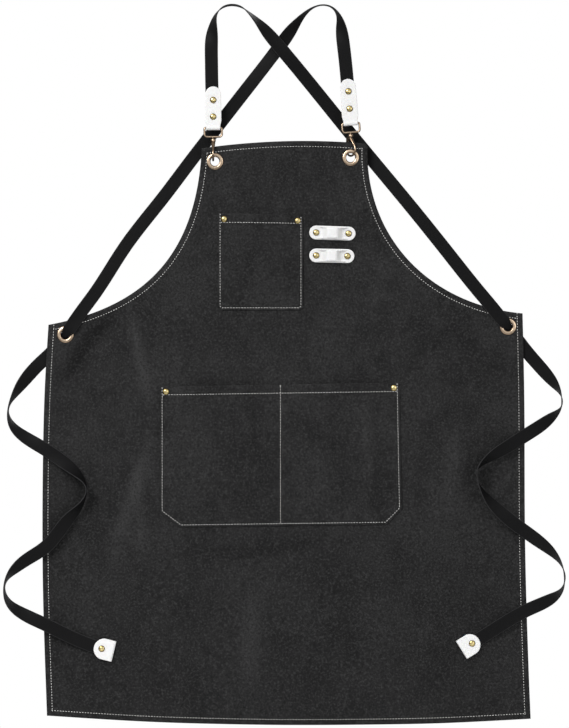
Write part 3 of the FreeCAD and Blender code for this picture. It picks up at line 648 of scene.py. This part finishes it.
def crease_depth(x, z):
    """How far the kept creases stand the cloth back at points, in mm; ridges count below zero."""
    depth = np.zeros_like(x)
    for xa, za, xb, zb, height, width in CREASES:
        run = math.dist((xa, za), (xb, zb))
        along = ((x - xa) * (xb - xa) + (z - za) * (zb - za)) / run
        across = ((x - xa) * (zb - za) - (z - za) * (xb - xa)) / run
        bend = 0.18 * width * np.sin(along / 31.0 + xa)
        fade = ease(along / (0.3 * run)) * ease((run - along) / (0.4 * run))
        depth = depth + height * np.exp(-((across + bend) / width) ** 2) * fade
    return depth


def drape(x, z):
    """How far the hanging cloth stands back from its flat plane, in mm: folds that open to the hem."""
    x, z = np.asarray(x, dtype=float), np.asarray(z, dtype=float)
    low = ease((-z - 700) / 330)
    side = ease((np.abs(x) - 190) / 150) * ease((-z - 520) / 200)
    swing = np.sin(x / 61.0 + 0.8 + 0.5 * np.sin(z / 170.0)) + 0.55 * np.sin(x / 33.0 + 2.1 - z / 420.0)
    folds = (2.6 + 2.2 * swing) * low + (1.6 + 1.6 * np.sin(z / 58.0 + np.sign(x) * 1.3)) * side
    fine = 0.80 * wrinkle(x, z, 64.0, 3.7) + 0.42 * wrinkle(x, z, 27.0, 9.1)
    fine = fine + 0.16 * wrinkle(x, z, 11.0, 17.3)
    free = np.ones_like(x)
    for sx, sz, radius in STILL:
        free = free * ease((np.hypot(x - sx, z - sz) - 14) / radius)
    return (folds + crease_depth(x, z) + fine) * free


def crease_shade_and_wear_at(points):
    """Painted shade and worn wax at each point, for the canvas to read: above zero in the creases' valleys,
    painted dark as shade; below zero on ridges, painted pale as worn wax and painted highlight.
    """
    places = np.array(points)
    return [(depth / 6.0, 0.0) for depth in crease_depth(places[:, 0], places[:, 2])]


def make_panel(canvas):
    outline = panel_outline()
    spots = [spot(node) for node in GROMMETS]
    holes = [arc_points(centre, EYELET_HOLE, 360, 0, 20)[:-1] for centre in spots]
    rings = [inset_loop(outline, d) for d in (0.8, 7.0, HEM - 1.0, HEM + 0.8)]

    def hem_lift(x, z):
        """The turned hem is thicker, puckered and dented by its stitches, and pressed flat by the eyelets."""
        rim = edge_distance(np.column_stack([x, z]), [outline])
        fold = ease((HEM + 0.8 - rim) / 1.8)
        groove = np.exp(-((rim - STITCH_INSET) / 1.1) ** 2)
        pucker = 0.22 * wrinkle(x, z, 9.0, 5.5) * ease((HEM + 4 - rim) / 6)
        gap = np.min([np.hypot(x - cx, z - cz) for cx, cz in spots], axis=0)
        return (0.55 * fold - 0.3 * groove + pucker) * ease((gap - 13) / 4)

    def front(x, z, _):
        return drape(x, z) - CLOTH / 2 - 0.45 * hem_lift(x, z)

    def back(x, z, _):
        return drape(x, z) + CLOTH / 2 + 0.9 * hem_lift(x, z)

    shape = cloth_piece(outline, holes, rings, GRID, front, back)
    panel = build("canvas_panel", shape, canvas, ["apron_panel"], uvs=crease_shade_and_wear_at(shape[0]))
    round(area_of(outline) * MM * MM, 4)
    return outline


# ---------------------------------------------------------------- stitches
STITCH_BEAD = ((0.0, -0.35, 0.55), (0.12, 0.15, 0.95), (0.5, 0.32, 1.0), (0.88, 0.15, 0.95),
               (1.0, -0.35, 0.55))         # share of the length, height over the cloth, share of the radius


def stitch(batch, start, end, surface, side):
    """One stitch: a short bead of thread that dips into the cloth at both ends."""
    path = []
    for share, lift, _ in STITCH_BEAD:
        x, z = (a + (b - a) * share for a, b in zip(start, end))
        path.append((x, surface(x, z) + side * lift, z))
    batch.add(*tube(path, [size * THREAD for _, _, size in STITCH_BEAD], steps=6, domed=False))


def seam(batch, line, surface, seed, side=-1, closed=False, skip=()):
    """A row of stitches along a line of (x, z): side -1 is the front; skip lists (x, z, radius) left bare."""
    rng = random.Random(seed)
    line = line + line[:1] if closed else line
    lengths = [math.dist(a, b) for a, b in zip(line, line[1:])]
    count = max(1, round(sum(lengths) / STITCH_PITCH))
    step = sum(lengths) / count
    gap = (1 - STITCH_LONG / STITCH_PITCH) * step

    def place(s):
        for a, b, length in zip(line, line[1:], lengths):
            if s <= length:
                return (a[0] + (b[0] - a[0]) * s / length, a[1] + (b[1] - a[1]) * s / length)
            s -= length
        return line[-1]

    for i in range(count):
        a, b = place(step * i + gap / 2), place(step * (i + 1) - gap / 2)
        if any(math.hypot(p[0] - x, p[1] - z) < r for x, z, r in skip for p in (a, b)):
            continue
        dx, dz = rng.uniform(-WANDER, WANDER), rng.uniform(-WANDER, WANDER)
        stitch(batch, (a[0] + dx, a[1] + dz), (b[0] - dx, b[1] - dz), surface, side)


def surface_lookup(grid_step, function, low, high):
    """A quick table of a surface's depth, read back by interpolation."""
    xs = np.arange(low[0], high[0] + grid_step, grid_step)
    zs = np.arange(low[1], high[1] + grid_step, grid_step)
    gx, gz = np.meshgrid(xs, zs)
    values = function(gx.ravel(), gz.ravel()).reshape(gx.shape)

    def at(x, z):
        i = min(max((z - low[1]) / grid_step, 0), len(zs) - 1.001)
        j = min(max((x - low[0]) / grid_step, 0), len(xs) - 1.001)
        a, b = int(i), int(j)
        u, v = i - a, j - b
        return float(values[a, b] * (1 - u) * (1 - v) + values[a + 1, b] * u * (1 - v)
                     + values[a, b + 1] * (1 - u) * v + values[a + 1, b + 1] * u * v)
    return at


def make_edge_stitching(outline, thread, cloth_at):
    def front(x, z):
        return cloth_at(x, z) - CLOTH / 2

    def back(x, z):
        return cloth_at(x, z) + CLOTH / 2 + 0.15

    batch = Batch()
    skip = [(*spot(node), EYELET_BARE) for node in GROMMETS]
    line = inset_loop(outline, STITCH_INSET)
    seam(batch, line, front, 4, closed=True, skip=skip)
    seam(batch, line, back, 5, side=1, closed=True, skip=skip)
    for corner, below, drop in ((WAIST_LEFT, SIDE_LEFT[0], 1.2), (WAIST_RIGHT, SIDE_RIGHT[0], 1.8)):
        x = corner[0] - math.copysign(STITCH_INSET, corner[0])
        lean = (below[0] - corner[0]) / (below[1] - corner[1])
        seam(batch, [(x - lean * d, corner[1] + drop - d) for d in (0.0, 8.5)], front, 6)
    build("edge_stitches", batch.shape(), thread, ["edge_topstitching"])


# ---------------------------------------------------------------- pockets
MOUTH_HEM = 13.0
SEAM_INSET = 3.5
POCKETS = (                     # name, outline, hem seam, rivets, dividers, slack of the front, seed
    ("chest_pocket", [(-98.0, -298.5), (-98.0, -434.5), (-93.5, -439.0), (21.0, -439.0), (25.5, -434.5),
                      (25.5, -303.0)],
     [(-94.5, -312.3), (22.0, -313.8)], [(-88.7, -307.5), (17.4, -310.0)], [], 5.5, 11),
    ("lower_pocket", [(-181.5, -549.0), (-181.5, -730.0), (-152.0, -752.0), (145.5, -748.0),
                      (167.5, -725.5), (164.0, -543.0)],
     [(-178.0, -561.0), (161.0, -556.0)], [(-172.5, -556.5), (156.0, -551.0)], [-7.5], 6.0, 12))


def mouth_height(shape, x):
    """z of the pocket's straight mouth at x."""
    (xa, za), (xb, zb) = shape[0], shape[-1]
    return za + (zb - za) * (x - xa) / (xb - xa)


def pocket_belly(shape, dividers, depth):
    """Slack of the pocket's front: none along its seams, most in the open part of the mouth."""
    bottom = min(z for _, z in shape)
    walls = [shape[0][0]] + dividers + [shape[-1][0]]

    def belly(x, z):
        share = np.zeros_like(x)
        for a, b in zip(walls, walls[1:]):
            reach = (b - a) * 0.30
            near = ease((x - a - 7) / reach) * ease((b - x - 7) / reach)
            share = np.where((x > a) & (x < b), near, share)
        top = mouth_height(shape, x)
        rise = ease((z - bottom - 7) / 70) * (0.50 + 0.50 * ease((z - bottom) / (top - bottom)))
        sway = 1 + 0.20 * wrinkle(x, z, 48.0, 21.0)
        return depth * share * rise * sway * (1 + 0.10 * ease(1 - (top - z) / 30))
    return belly


def make_pocket(name, shape, rivets, dividers, depth, canvas, cloth_at):
    """Builds the pocket and returns its front surface's depth as a function of x and z."""
    outline = resample(shape, 3.2)
    belly = pocket_belly(shape, dividers, depth)

    def behind(x, z):
        """Depth of the panel's front, and how free the pocket is of its rivets, 0 to 1."""
        free = np.ones_like(x)
        for rx, rz in rivets:
            free = free * ease((np.hypot(x - rx, z - rz) - 5.5) / 9)
        return np.array([cloth_at(a, b) for a, b in zip(x, z)]) - CLOTH / 2, free

    def front(x, z, rim):
        panel, free = behind(x, z)
        from_top = mouth_height(shape, x) - z
        edge = 0.55 * ease((7.5 - rim) / 2.0)
        band = 0.6 * ease((MOUTH_HEM + 0.8 - from_top) / 1.6)
        grooves = 0.28 * np.exp(-((rim - SEAM_INSET) / 0.9) ** 2)
        grooves = grooves + 0.30 * np.exp(-((from_top - MOUTH_HEM + 1.2) / 0.9) ** 2)
        for wall in dividers:
            grooves = grooves + 0.35 * np.exp(-((x - wall) / 1.1) ** 2)
        pucker = 0.30 * wrinkle(x, z, 8.0, 31.0) * ease((16 - rim) / 12) + 0.35 * wrinkle(x, z, 26.0, 14.0)
        lift = (edge + band - grooves + 0.6 * pucker + belly(x, z)) * free
        return panel - CLOTH - np.maximum(lift, -0.25)

    def back(x, z, _):
        panel, free = behind(x, z)
        return panel - 0.06 - belly(x, z) * free

    rings = [inset_loop(outline, d) for d in (0.7, SEAM_INSET - 0.9, SEAM_INSET, SEAM_INSET + 0.9, 8.0)]
    cloth = cloth_piece(outline, [], rings, 4.2, front, back, roll=0.25)
    piece = build(f"{name}_cloth", cloth, canvas, [name], uvs=crease_shade_and_wear_at(cloth[0]))
    xs, zs = [p[0] for p in shape], [p[1] for p in shape]
    round((max(xs) - min(xs)) * MM, 3)
    round((max(zs) - min(zs)) * MM, 3)
    round(abs(area_of(shape)) * MM * MM, 4)

    def surface(x, z):
        rim = edge_distance(np.array([[x, z]]), [outline])
        return float(front(np.array([x]), np.array([z]), rim)[0])
    return surface


def make_pocket_stitches(name, shape, hem_line, dividers, thread, surface, seed):
    batch = Batch()
    inner = inset_loop(shape, SEAM_INSET)
    run = [(inner[0][0], shape[0][1] - 0.6)] + inner[1:5] + [(inner[5][0], shape[5][1] - 0.6)]
    seam(batch, run, surface, seed)
    seam(batch, hem_line, surface, seed + 1)
    (xa, za), (xb, zb) = inner[2:4]
    for wall in dividers:
        top, bottom = mouth_height(shape, wall), za + (zb - za) * (wall - xa) / (xb - xa)
        seam(batch, [(wall, top - 1.5), (wall, bottom)], surface, seed + 2)
        seam(batch, [(wall - 2.0, top - 2.0), (wall + 2.0, top - 2.0)], surface, seed + 4)
    build(f"{name}_stitches", batch.shape(), thread, [f"{name}_stitching"])


# ---------------------------------------------------------------- straps, each a route of (x, z, y, turn)
LEFT_ROUTE = [
    (-104.5, -166, 0, 0), (-105.5, -140, 0, 0), (-106.5, -112, 0, 0), (-107, -80, 0, 0), (-107, -54, 0, 8),
    (-105, -31, 0, 48), (-100, -12, 0, 80), (-90, -2, 0, 90), (-77, 1, 0, 92), (-64, -2, 0, 90),
    (-52, -11, 0, 78), (-40, -23, 0, 58), (-26, -39, 1, 25), (-9, -59, 2, 0), (45, -124, 9, 0),
    (93, -183, 14, 0), (125, -222, 11, 0), (181, -290, 4, 0), (240, -364, -1, 0), (280, -414, -3, 0),
    (300, -438, -3.5, 0), (311, -451.5, -3.9, 0), (316.2, -457.4, -3.6, 0), (320.5, -462.5, 0.1, 0),
    (324.7, -467.7, 3.7, 0), (329.5, -474, 4.1, 0), (338, -486, 4, 0), (354, -506, 4, 0),
    (375, -530, 3, 18), (390, -549, 1, 55), (398, -566, -1, 88), (396.5, -580, -3, 82), (385, -592, -5, 48),
    (366, -606, -7, 14), (344, -620, -8, 0), (320, -635, -10, 12), (292, -652, -12, 50),
    (275, -671, -13, 88), (279, -692, -13, 82), (292, -712, -12, 50), (312, -732, -10, 14),
    (344, -757, -8, 0), (366, -773, -7, 22), (384, -788, -6, 52), (397, -805, -5, 80),
    (402, -824, -4.5, 90), (398, -841, -4.5, 72), (382, -855, -4.5, 30), (348, -871, -4.2, 0),
    (308, -894, -3.8, 0), (277, -913.5, -3.6, 0), (262, -923, -3.6, 0)]
RIGHT_ROUTE = [
    (93, -161, 0, 0), (90.8, -134, 0, 0), (88.6, -107, 0, 0), (86, -80, 0, 0), (83, -54, 0, 8),
    (80, -31, 0, 40), (75, -12, 0, 78), (66, -2, 0, 90), (54, 1, 0, 92), (41, -2, 0, 90), (28, -11, 1, 78),
    (17, -23, 3, 58), (5, -39, 6, 25), (-9, -58, 9, 0), (-60, -124, 12, 0), (-106, -183, 14, 0),
    (-136, -222, 11, 0), (-178, -278, 5, 0), (-231, -347, -1, 0), (-275, -415, -3, 0),
    (-297, -445, -3.5, 0), (-308.5, -461.5, -3.9, 0), (-313.6, -468.6, -3.6, 0), (-317.5, -474, 0.1, 0),
    (-321.3, -479.4, 3.7, 0), (-326, -486, 4.1, 0), (-336, -498, 4, 0), (-356, -517, 4, 0),
    (-374, -537, 3, 22), (-391, -561, 1, 66), (-400, -584, -1, 90), (-394, -604, -3, 62),
    (-372, -624, -6, 22), (-347, -639, -8, 0), (-322, -656, -10, 14), (-299, -675, -12, 56),
    (-287, -695, -13, 90), (-293, -716, -13, 74), (-312, -739, -11, 28), (-347, -781, -8, 0),
    (-371, -797, -7, 16), (-392, -814, -6, 50), (-405, -835, -5, 88), (-401, -857, -4.5, 70),
    (-379, -876, -4.5, 28), (-348, -891, -4.2, 0), (-311, -909, -3.8, 0), (-278, -922.5, -3.6, 0),
    (-259, -928.5, -3.6, 0)]
GATHER = {22: 0.92, 23: 0.67, 24: 0.66, 25: 0.84}      # width share where both routes pass an eyelet


def web_section():
    """Half thickness at stations across the webbing, -1 to 1: flat with rounded selvages."""
    across = [-1.0, -0.985, -0.955, -0.90, -0.78, -0.55, -0.28, 0.0]
    across += [-a for a in across[-2::-1]]
    return [(a, WEB / 2 * min(1.0, 0.30 + 0.70 * math.sqrt(max(0, 1 - (max(0, abs(a) - 0.90) / 0.10) ** 2))))
            for a in across]


def make_strap(side, route, webbing):
    """Ribbon that follows its route, turned by degrees out of the panel's plane."""
    stations = stations_of([p[:3] for p in route])
    curve = natural_spline(stations, [(x, y, z, turn, GATHER.get(i, 1))
                                      for i, (x, z, y, turn) in enumerate(route)])
    t = np.linspace(0, stations[-1], int(stations[-1] / 2.0) + 1)
    rows, ahead = curve(t), curve(t + 0.5) - curve(t - 0.5)
    section = web_section()
    points, uvs = [], []
    for row, step, run in zip(rows, ahead, stations_of([row[:3] for row in rows])):
        x, y, z, turn, share = row
        along = Vector(step[:3]).normalized()
        flat = Vector((along.z, 0, -along.x)).normalized()
        edge_on = flat.cross(along).normalized()
        a = math.radians(turn)
        across = (flat * math.cos(a) + edge_on * math.sin(a)).normalized()
        out = across.cross(along).normalized()
        share = min(1.0, share)
        cup = 6.5 * (1 - share)
        relaxed = 0.22 * math.sin(run / 47.0 + 1.2) + 0.18 * math.sin(run / 21.0)
        for face in (1, -1):
            for k, half in section[::face]:
                bow = cup * (0.5 - k * k) + relaxed * (0.5 - k * k) * share
                aside = across * (k * WEB_WIDTH / 2 * share) + out * (bow + face * half)
                points.append(Vector((x, y, z)) + aside)
                uvs.append((k * WEB_WIDTH / 2 * MM, run * MM))
    nodes = [f"{side}_{stretch}_webbing" for stretch in ("riser", "diagonal", "upper_tie", "lower_tie")]
    shape = points, ring_faces(len(rows), 2 * len(section))
    strap = build(f"{side}_webbing", shape, webbing, nodes, uvs=uvs)


# ---------------------------------------------------------------- leather
CLASP_BAR = {"left": (-104.5, -176.0), "right": (93.6, -169.5)}
CLASP_LEAN = {"left": 0.0, "right": 4.0}
HOOK_TURN = {"left": 0.0, "right": 40.0}
TAB_LENGTH = {"left": 59.5, "right": 64.0}
TAB_RIVETS = {"left": (16.0, 40.0), "right": (21.0, 46.0)}
TAB_CROWN = 11.2                # radius of the clasp tab's round top
TIE_TABS = {"left": (-265.0, -926.5, 166.0), "right": (268.5, -919.0, 32.0)}       # x, z, heading
TIE_LAYER = -3.6
TIE_REACH, TIE_RADIUS, TIE_HALF = 11.5, 15.15, 15.0
TOOL_LOOPS = {"upper": ((44.0, -327.0), (90.7, -328.5)), "lower": ((44.0, -360.0), (89.0, -361.0))}
LOOP_END, LOOP_RISE = 10.0, 9.0


def leather_strip(outline, path, rivets, seed):
    """Leather of one thickness: outline in (across, along), bent to a path of (y, v) points.

    Returns points in (across, y, v) and faces.
    """
    lengths, line = stations_of(path), np.array(path)

    def place(s):
        return np.column_stack([np.interp(s, lengths, line[:, k]) for k in (0, 1)])

    outline = outline if area_of(outline) > 0 else outline[::-1]
    flat, faces = triangulate(outline, [], [inset_loop(outline, d) for d in (0.35, 0.9, 1.6)], 1.9)
    rim = edge_distance(flat, [outline])
    round_off = 0.35 + 0.65 * np.sqrt(1 - (1 - np.clip(rim / 0.9, 0, 1)) ** 2)
    half = LEATHER / 2 * round_off
    grain = 0.10 * np.array([noise.noise(Vector((u / 5.0, s / 5.0, seed))) for u, s in flat])
    dent = np.zeros(len(flat))
    for ru, rs in rivets:
        dent = dent + 0.28 * np.exp(-((np.hypot(flat[:, 0] - ru, flat[:, 1] - rs) - 5.2) / 1.3) ** 2)
    mid, ahead = place(flat[:, 1]), place(flat[:, 1] + 0.3) - place(flat[:, 1] - 0.3)
    ahead /= np.maximum(np.linalg.norm(ahead, axis=1, keepdims=True), 1e-9)
    normal = np.column_stack([-ahead[:, 1], ahead[:, 0]])
    outer = mid + normal * (half + (grain - dent) * (round_off > 0.9))[:, None]
    inner = mid - normal * half[:, None]
    surfaces = [[(u, y, v) for (u, _), (y, v) in zip(flat, face)] for face in (outer, inner)]
    return sheet_shell(flat, faces, *surfaces)


def folded_path(leaf, reach, centre, radius, count=16):
    """Up one leaf, round a fold and along the other: points of (y, v), the fold at low v."""
    start = math.degrees(math.asin(min(1, leaf / radius)))
    arc = [(centre[0] + radius * math.sin(math.radians(a)), centre[1] + radius * math.cos(math.radians(a)))
           for a in np.linspace(start, 360 - start, count + 1)]
    return [(leaf, reach)] + [(leaf, reach + (arc[0][1] - reach) * k / 8) for k in range(1, 8)] + arc \
        + [(-leaf, arc[-1][1] + (reach - arc[-1][1]) * k / 8) for k in range(1, 8)] + [(-leaf, reach)]


def clasp_tab_shape(side):
    """Strip folded round the eye's bar: widest over it, narrower to the round top, necked at the fold."""
    reach = TAB_LENGTH[side]
    path = folded_path(1.7, reach, (0, 0), 2.65)
    total = stations_of(path)[-1]

    def half_width(s):
        v = reach - min(s, total - s)
        return 10.3 + 1.5 * float(ease((v - 3) / 8)) - 0.6 * max(0.0, (v - 12) / (reach - TAB_CROWN - 12))

    sides = [(half_width(s), s) for s in np.linspace(TAB_CROWN, total - TAB_CROWN, 64)]
    cap = [(TAB_CROWN * math.sin(a), total - TAB_CROWN + TAB_CROWN * math.cos(a))
           for a in np.linspace(-math.pi / 2 + 0.1, math.pi / 2 - 0.1, 22)]
    outline = [(-half, s) for half, s in sides] + cap + sides[::-1] + [(-x, total - s) for x, s in cap]
    rivets = [(0.0, s) for d in TAB_RIVETS[side] for s in (total - reach + d, reach - d)]
    return leather_strip(outline, path, rivets, reach)


def tie_tab_shape():
    """D of leather folded over the tie's end: fold at low v, rounded tips at high v."""
    path = folded_path(1.8, TIE_REACH, (0, -15.5), 1.81)
    total = stations_of(path)[-1]
    sides = []
    for s in np.linspace(0.15, total - 0.15, 72):
        v = TIE_REACH - min(s, total - s)
        round_tip = math.sqrt(max(0.3, TIE_RADIUS ** 2 - (v - TIE_REACH + TIE_RADIUS) ** 2))
        sides.append((TIE_HALF if v < -1.5 else round_tip, s))
    outline = [(-half, s) for half, s in sides] + sides[::-1]
    return leather_strip(outline, path, [(0.0, TIE_REACH), (0.0, total - TIE_REACH)], 4.2)


def tool_loop_shape(a, b):
    """Stadium of leather, riveted at both ends, its middle bowed off the panel."""
    length = b[0] - a[0]
    xs = np.linspace(-LOOP_END, length + LOOP_END, 90)
    rise = LOOP_RISE * ease((xs - 8.0) / 10.0) * ease((length - 8.0 - xs) / 10.0)
    path = [(-CLOTH / 2 - LEATHER / 2 - r, x) for r, x in zip(rise, xs)]
    total = stations_of(path)[-1]
    outline = arc_points((0, LOOP_END), LOOP_END, 180, 360, 22)
    outline += arc_points((0, total - LOOP_END), LOOP_END, 0, 180, 22)
    return leather_strip(outline, path, [(0, LOOP_END), (0, total - LOOP_END)], a[1])


# Profiles of (radius, height from the seat outwards).
RIVET_CAP = ((0.05, 2.22), (1.2, 2.14), (2.4, 1.90), (3.4, 1.48), (4.1, 0.98), (4.42, 0.66), (4.60, 0.44),
             (4.60, 0.18), (4.45, 0.02), (0.05, 0.0))
RIVET_BACK = ((0.05, 0.80), (1.1, 0.78), (1.5, 0.55), (2.6, 0.72), (3.3, 0.62), (3.72, 0.40), (3.8, 0.12),
              (3.6, 0.0), (0.05, 0.0))


def make_rivets(name, node, brass, rivets, y_front, y_back):
    """Domed caps in front, each on a post to a hollow cap behind; rivets lists ((x, z), seed)."""
    batch = Batch()
    for (x, z), seed in rivets:
        rng = random.Random(seed)
        lean = (rng.uniform(-0.02, 0.02), -1, rng.uniform(-0.02, 0.02))
        batch.add(*lathe(RIVET_CAP, (x, y_front, z), lean, 32))
        batch.add(*lathe([(1.45, 0.1), (1.45, y_front - y_back)], (x, y_front, z), steps=16, close=False))
        batch.add(*lathe(RIVET_BACK, (x, y_back, z), (0, 1, 0)))
    build(name, batch.shape(), brass, [node])


def make_leather(leather, brass):
    for side, seed in zip(SIDES, (7, 17)):
        lean = math.radians(CLASP_LEAN[side])
        points, faces = clasp_tab_shape(side)
        build(f"{side}_clasp_leather", (turned(points, CLASP_BAR[side], lean), faces), leather,
              [f"{side}_clasp_tab"])
        seats = turned([(0, 0, d) for d in TAB_RIVETS[side]], CLASP_BAR[side], lean)
        make_rivets(f"{side}_clasp_caps", f"{side}_clasp_rivets", brass,
                    [((x, z), seed + k) for k, (x, _, z) in enumerate(seats)], -2.6, 2.6)

        x, z, heading = TIE_TABS[side]
        points, faces = tie_tab_shape()
        points = turned([(v, y, u) for u, y, v in points], (x, z), math.radians(heading), TIE_LAYER)
        build(f"{side}_tie_leather", (points, faces), leather, [f"{side}_tie_tab"])
        make_rivets(f"{side}_tie_cap", f"{side}_tie_rivet", brass, [((x, z), 31)],
                    TIE_LAYER - 2.7, TIE_LAYER + 2.7)

    for name, (a, b) in TOOL_LOOPS.items():
        points, faces = tool_loop_shape(a, b)
        points = turned([(v, y, u) for u, y, v in points], a, math.atan2(b[1] - a[1], b[0] - a[0]))
        build(f"{name}_loop_leather", (points, faces), leather, [f"{name}_tool_loop"])
    ends = [(end, k + 40) for loop in TOOL_LOOPS.values() for k, end in enumerate(loop)]
    make_rivets("tool_loop_caps", "tool_loop_rivets", brass, ends, -CLOTH / 2 - LEATHER, CLOTH / 2)
    for name, _, _, rivets, *_ in POCKETS:
        make_rivets(f"{name}_caps", f"{name}_rivets", brass,
                    [(centre, k + 50) for k, centre in enumerate(rivets)], -1.5 * CLOTH, CLOTH / 2)


# ---------------------------------------------------------------- eyelets, (radius, height) profiles
EYELET = ((12.0, 0.66), (12.0, 0.95), (11.7, 1.25), (11.0, 1.52), (10.0, 1.74), (9.0, 1.82), (8.1, 1.74),
          (7.3, 1.45), (6.75, 0.98), (6.42, 0.4), (6.35, -0.2), (6.35, -1.35), (6.5, -1.75), (6.9, -2.02),
          (7.5, -2.10), (8.0, -1.98), (8.1, -1.75), (7.8, -1.63), (7.2, -1.6), (7.2, 0.62), (11.6, 0.62))
WASHER = ((7.3, -0.66), (11.1, -0.66), (11.4, -0.85), (11.3, -1.20), (10.7, -1.50), (9.8, -1.60),
          (7.5, -1.56), (7.3, -1.4))


def make_grommets(brass):
    """Rolled eyelets with a barrel through the cloth, and a washer behind that the barrel is set over."""
    for node in GROMMETS:
        x, z = spot(node)
        for profile, piece, part in ((EYELET, "eyelet", "grommet"), (WASHER, "eyelet_ring", "washer")):
            build(node.replace("grommet", piece), lathe(profile, (x, 0, z), steps=56), brass,
                  [node.replace("grommet", part)])


# ---------------------------------------------------------------- swivel snap hooks
WIRE = 1.5                      # radius of the loop's and the hook's wire
KNOB_Z = -18.4
HOOK_BEND = 9.3
BEND_Y, BEND_Z = -0.7, -37.7
BOSS = ((2.0, 3.1), (2.9, 2.9), (3.5, 2.0), (3.8, 0.8), (3.8, -0.6), (3.4, -1.9), (2.7, -3.0), (1.6, -3.7),
        (0.2, -3.8), (0.2, 2.6), (1.9, 2.6))
HINGE = ((0.8, -1.0), (1.3, -1.0), (1.5, -0.8), (1.5, 0.8), (1.3, 1.0), (0.8, 1.0))
ARM = ((0, 0.8, KNOB_Z - 3.0), (0, 2.2, KNOB_Z - 3.2), (0, 3.6, KNOB_Z - 3.4))


def rounded_loop(half, low, high, radius, count=7):
    """Closed rounded rectangle in (x, z)."""
    points = []
    for cx, cz, start, r in ((half - 2, high - 2, 0, 2), (-half + 2, high - 2, 90, 2),
                             (-half + radius, low + radius, 180, radius),
                             (half - radius, low + radius, 270, radius)):
        points += arc_points((cx, cz), r, start, start + 90, count)
    return points


def hook_shapes():
    """Swivel boss, a flat spine that tapers as it slants forwards, a round bottom, the nose and the hinge."""
    start, steps = (0.0, -0.8, KNOB_Z - 2.2), 18
    reach = math.hypot(start[1] - BEND_Y, start[2] - BEND_Z)
    tilt = math.degrees(math.atan2(start[2] - BEND_Z, BEND_Y - start[1]) - math.acos(HOOK_BEND / reach))
    turns = [math.radians(a) for a in np.linspace(tilt, -180, 34)]
    bend = [(0.0, BEND_Y - HOOK_BEND * math.cos(a), BEND_Z + HOOK_BEND * math.sin(a)) for a in turns]
    spine = [tuple(p + (q - p) * t for p, q in zip(start, bend[0])) for t in np.linspace(0, 0.96, 14)]
    nose = [(0.0, BEND_Y + HOOK_BEND, BEND_Z + h) for h in (1.1, 2.2, 3.4)]
    path = spine + bend + nose
    count = len(path)
    points, faces = tube(path, [WIRE] * (count - 2) + [1.45, 1.3], steps)
    wide = [1 + 1.15 / WIRE * (1 - float(ease(i / 17))) for i in range(count)]
    wide = [wide[0]] * 3 + wide + [wide[-1]] * 3
    points = [Vector((p.x * wide[i // steps], p.y, p.z)) for i, p in enumerate(points)]
    return ((points, faces), lathe(BOSS, (0, 0, KNOB_Z), (0, 0, 1), 32),
            lathe(HINGE, (0, 4.6, KNOB_Z - 3.4), (1, 0, 0), 24), tube(ARM, [1.0] * 3))


def swivel_loop(side):
    """Rounded wire loop that leans with its leather, over the swivel's upright post and collar."""
    loop, steps, batch = rounded_loop(12.6, -13.0, 0.0, 4.0), 14, Batch()
    points = []
    for (xa, za), (x, z), (xb, zb) in zip(loop[-1:] + loop, loop, loop[1:] + loop[:1]):
        along = Vector((xb - xa, 0, zb - za)).normalized()
        points += circle(Vector((x, 0, z)), Vector((along.z, 0, -along.x)), Vector((0, 1, 0)), WIRE, steps)
    batch.add(turned(points, CLASP_BAR[side], math.radians(CLASP_LEAN[side])),
              ring_faces(len(loop), steps, closed=True))
    x, z = CLASP_BAR[side]
    post = [(1.6, -13.4), (1.6, -18.2), (2.4, -18.4), (2.4, -19.3)]
    batch.add(*lathe(post, (x, 0, z), (0, 0, 1), 20, close=False))
    collar = [(1.7, -14.1), (2.7, -14.3), (2.7, -14.9), (1.7, -15.1)]
    batch.add(*lathe(collar, (x, 0, z), (0, 0, 1), 24))
    return batch.shape()


def make_hooks(brass, steel):
    for side in SIDES:
        x0, z0 = CLASP_BAR[side]
        c, s = math.cos(math.radians(HOOK_TURN[side])), math.sin(math.radians(HOOK_TURN[side]))
        hook = Batch()
        for points, faces in hook_shapes():
            hook.add([(x0 + x * c - y * s, x * s + y * c, z0 + z) for x, y, z in points], faces)
        build(f"{side}_swivel_loop", swivel_loop(side), brass, [f"{side}_hook_eye"],
              f"{side}_eye")
        build(f"{side}_snap_hook", hook.shape(), brass, [f"{side}_hook_body"],
              f"{side}_hook")
        for part, material in (("hook_gate", brass), ("gate_pin", brass), ("gate_spring", steel)):
            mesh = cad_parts[f"{side}_{part}"].data
            mesh.materials.clear()
            mesh.materials.append(material)


# ---------------------------------------------------------------- the whole apron
def main():
    set_stage()
    canvas = canvas_material((0.0080, 0.0080, 0.0081), (0.0205, 0.0205, 0.0206))
    webbing = webbing_material()
    leather = leather_material()
    brass = brass_material("antique_brass", (0.040, 0.024, 0.014), (0.30, 0.195, 0.12), (0.86, 0.68, 0.50))
    gold = brass_material("rivet_brass", (0.11, 0.075, 0.022), (0.52, 0.40, 0.15), (0.80, 0.68, 0.36))
    thread = thread_material((0.80, 0.79, 0.76), (0.56, 0.555, 0.53))
    outline = make_panel(canvas)
    low, high = (CAD_LOW[0] / MM - 8, CAD_LOW[2] / MM - 8), (CAD_HIGH[0] / MM + 8, -190)
    cloth_at = surface_lookup(4.0, drape, low, high)
    make_edge_stitching(outline, thread, cloth_at)
    for name, shape, hem_line, rivets, dividers, depth, seed in POCKETS:
        surface = make_pocket(name, shape, rivets, dividers, depth, canvas, cloth_at)
        make_pocket_stitches(name, shape, hem_line, dividers, thread, surface, seed)
    make_strap("left", LEFT_ROUTE, webbing)
    make_strap("right", RIGHT_ROUTE, webbing)
    make_leather(leather, gold)
    make_grommets(brass)
    make_hooks(brass, steel_material())


main()
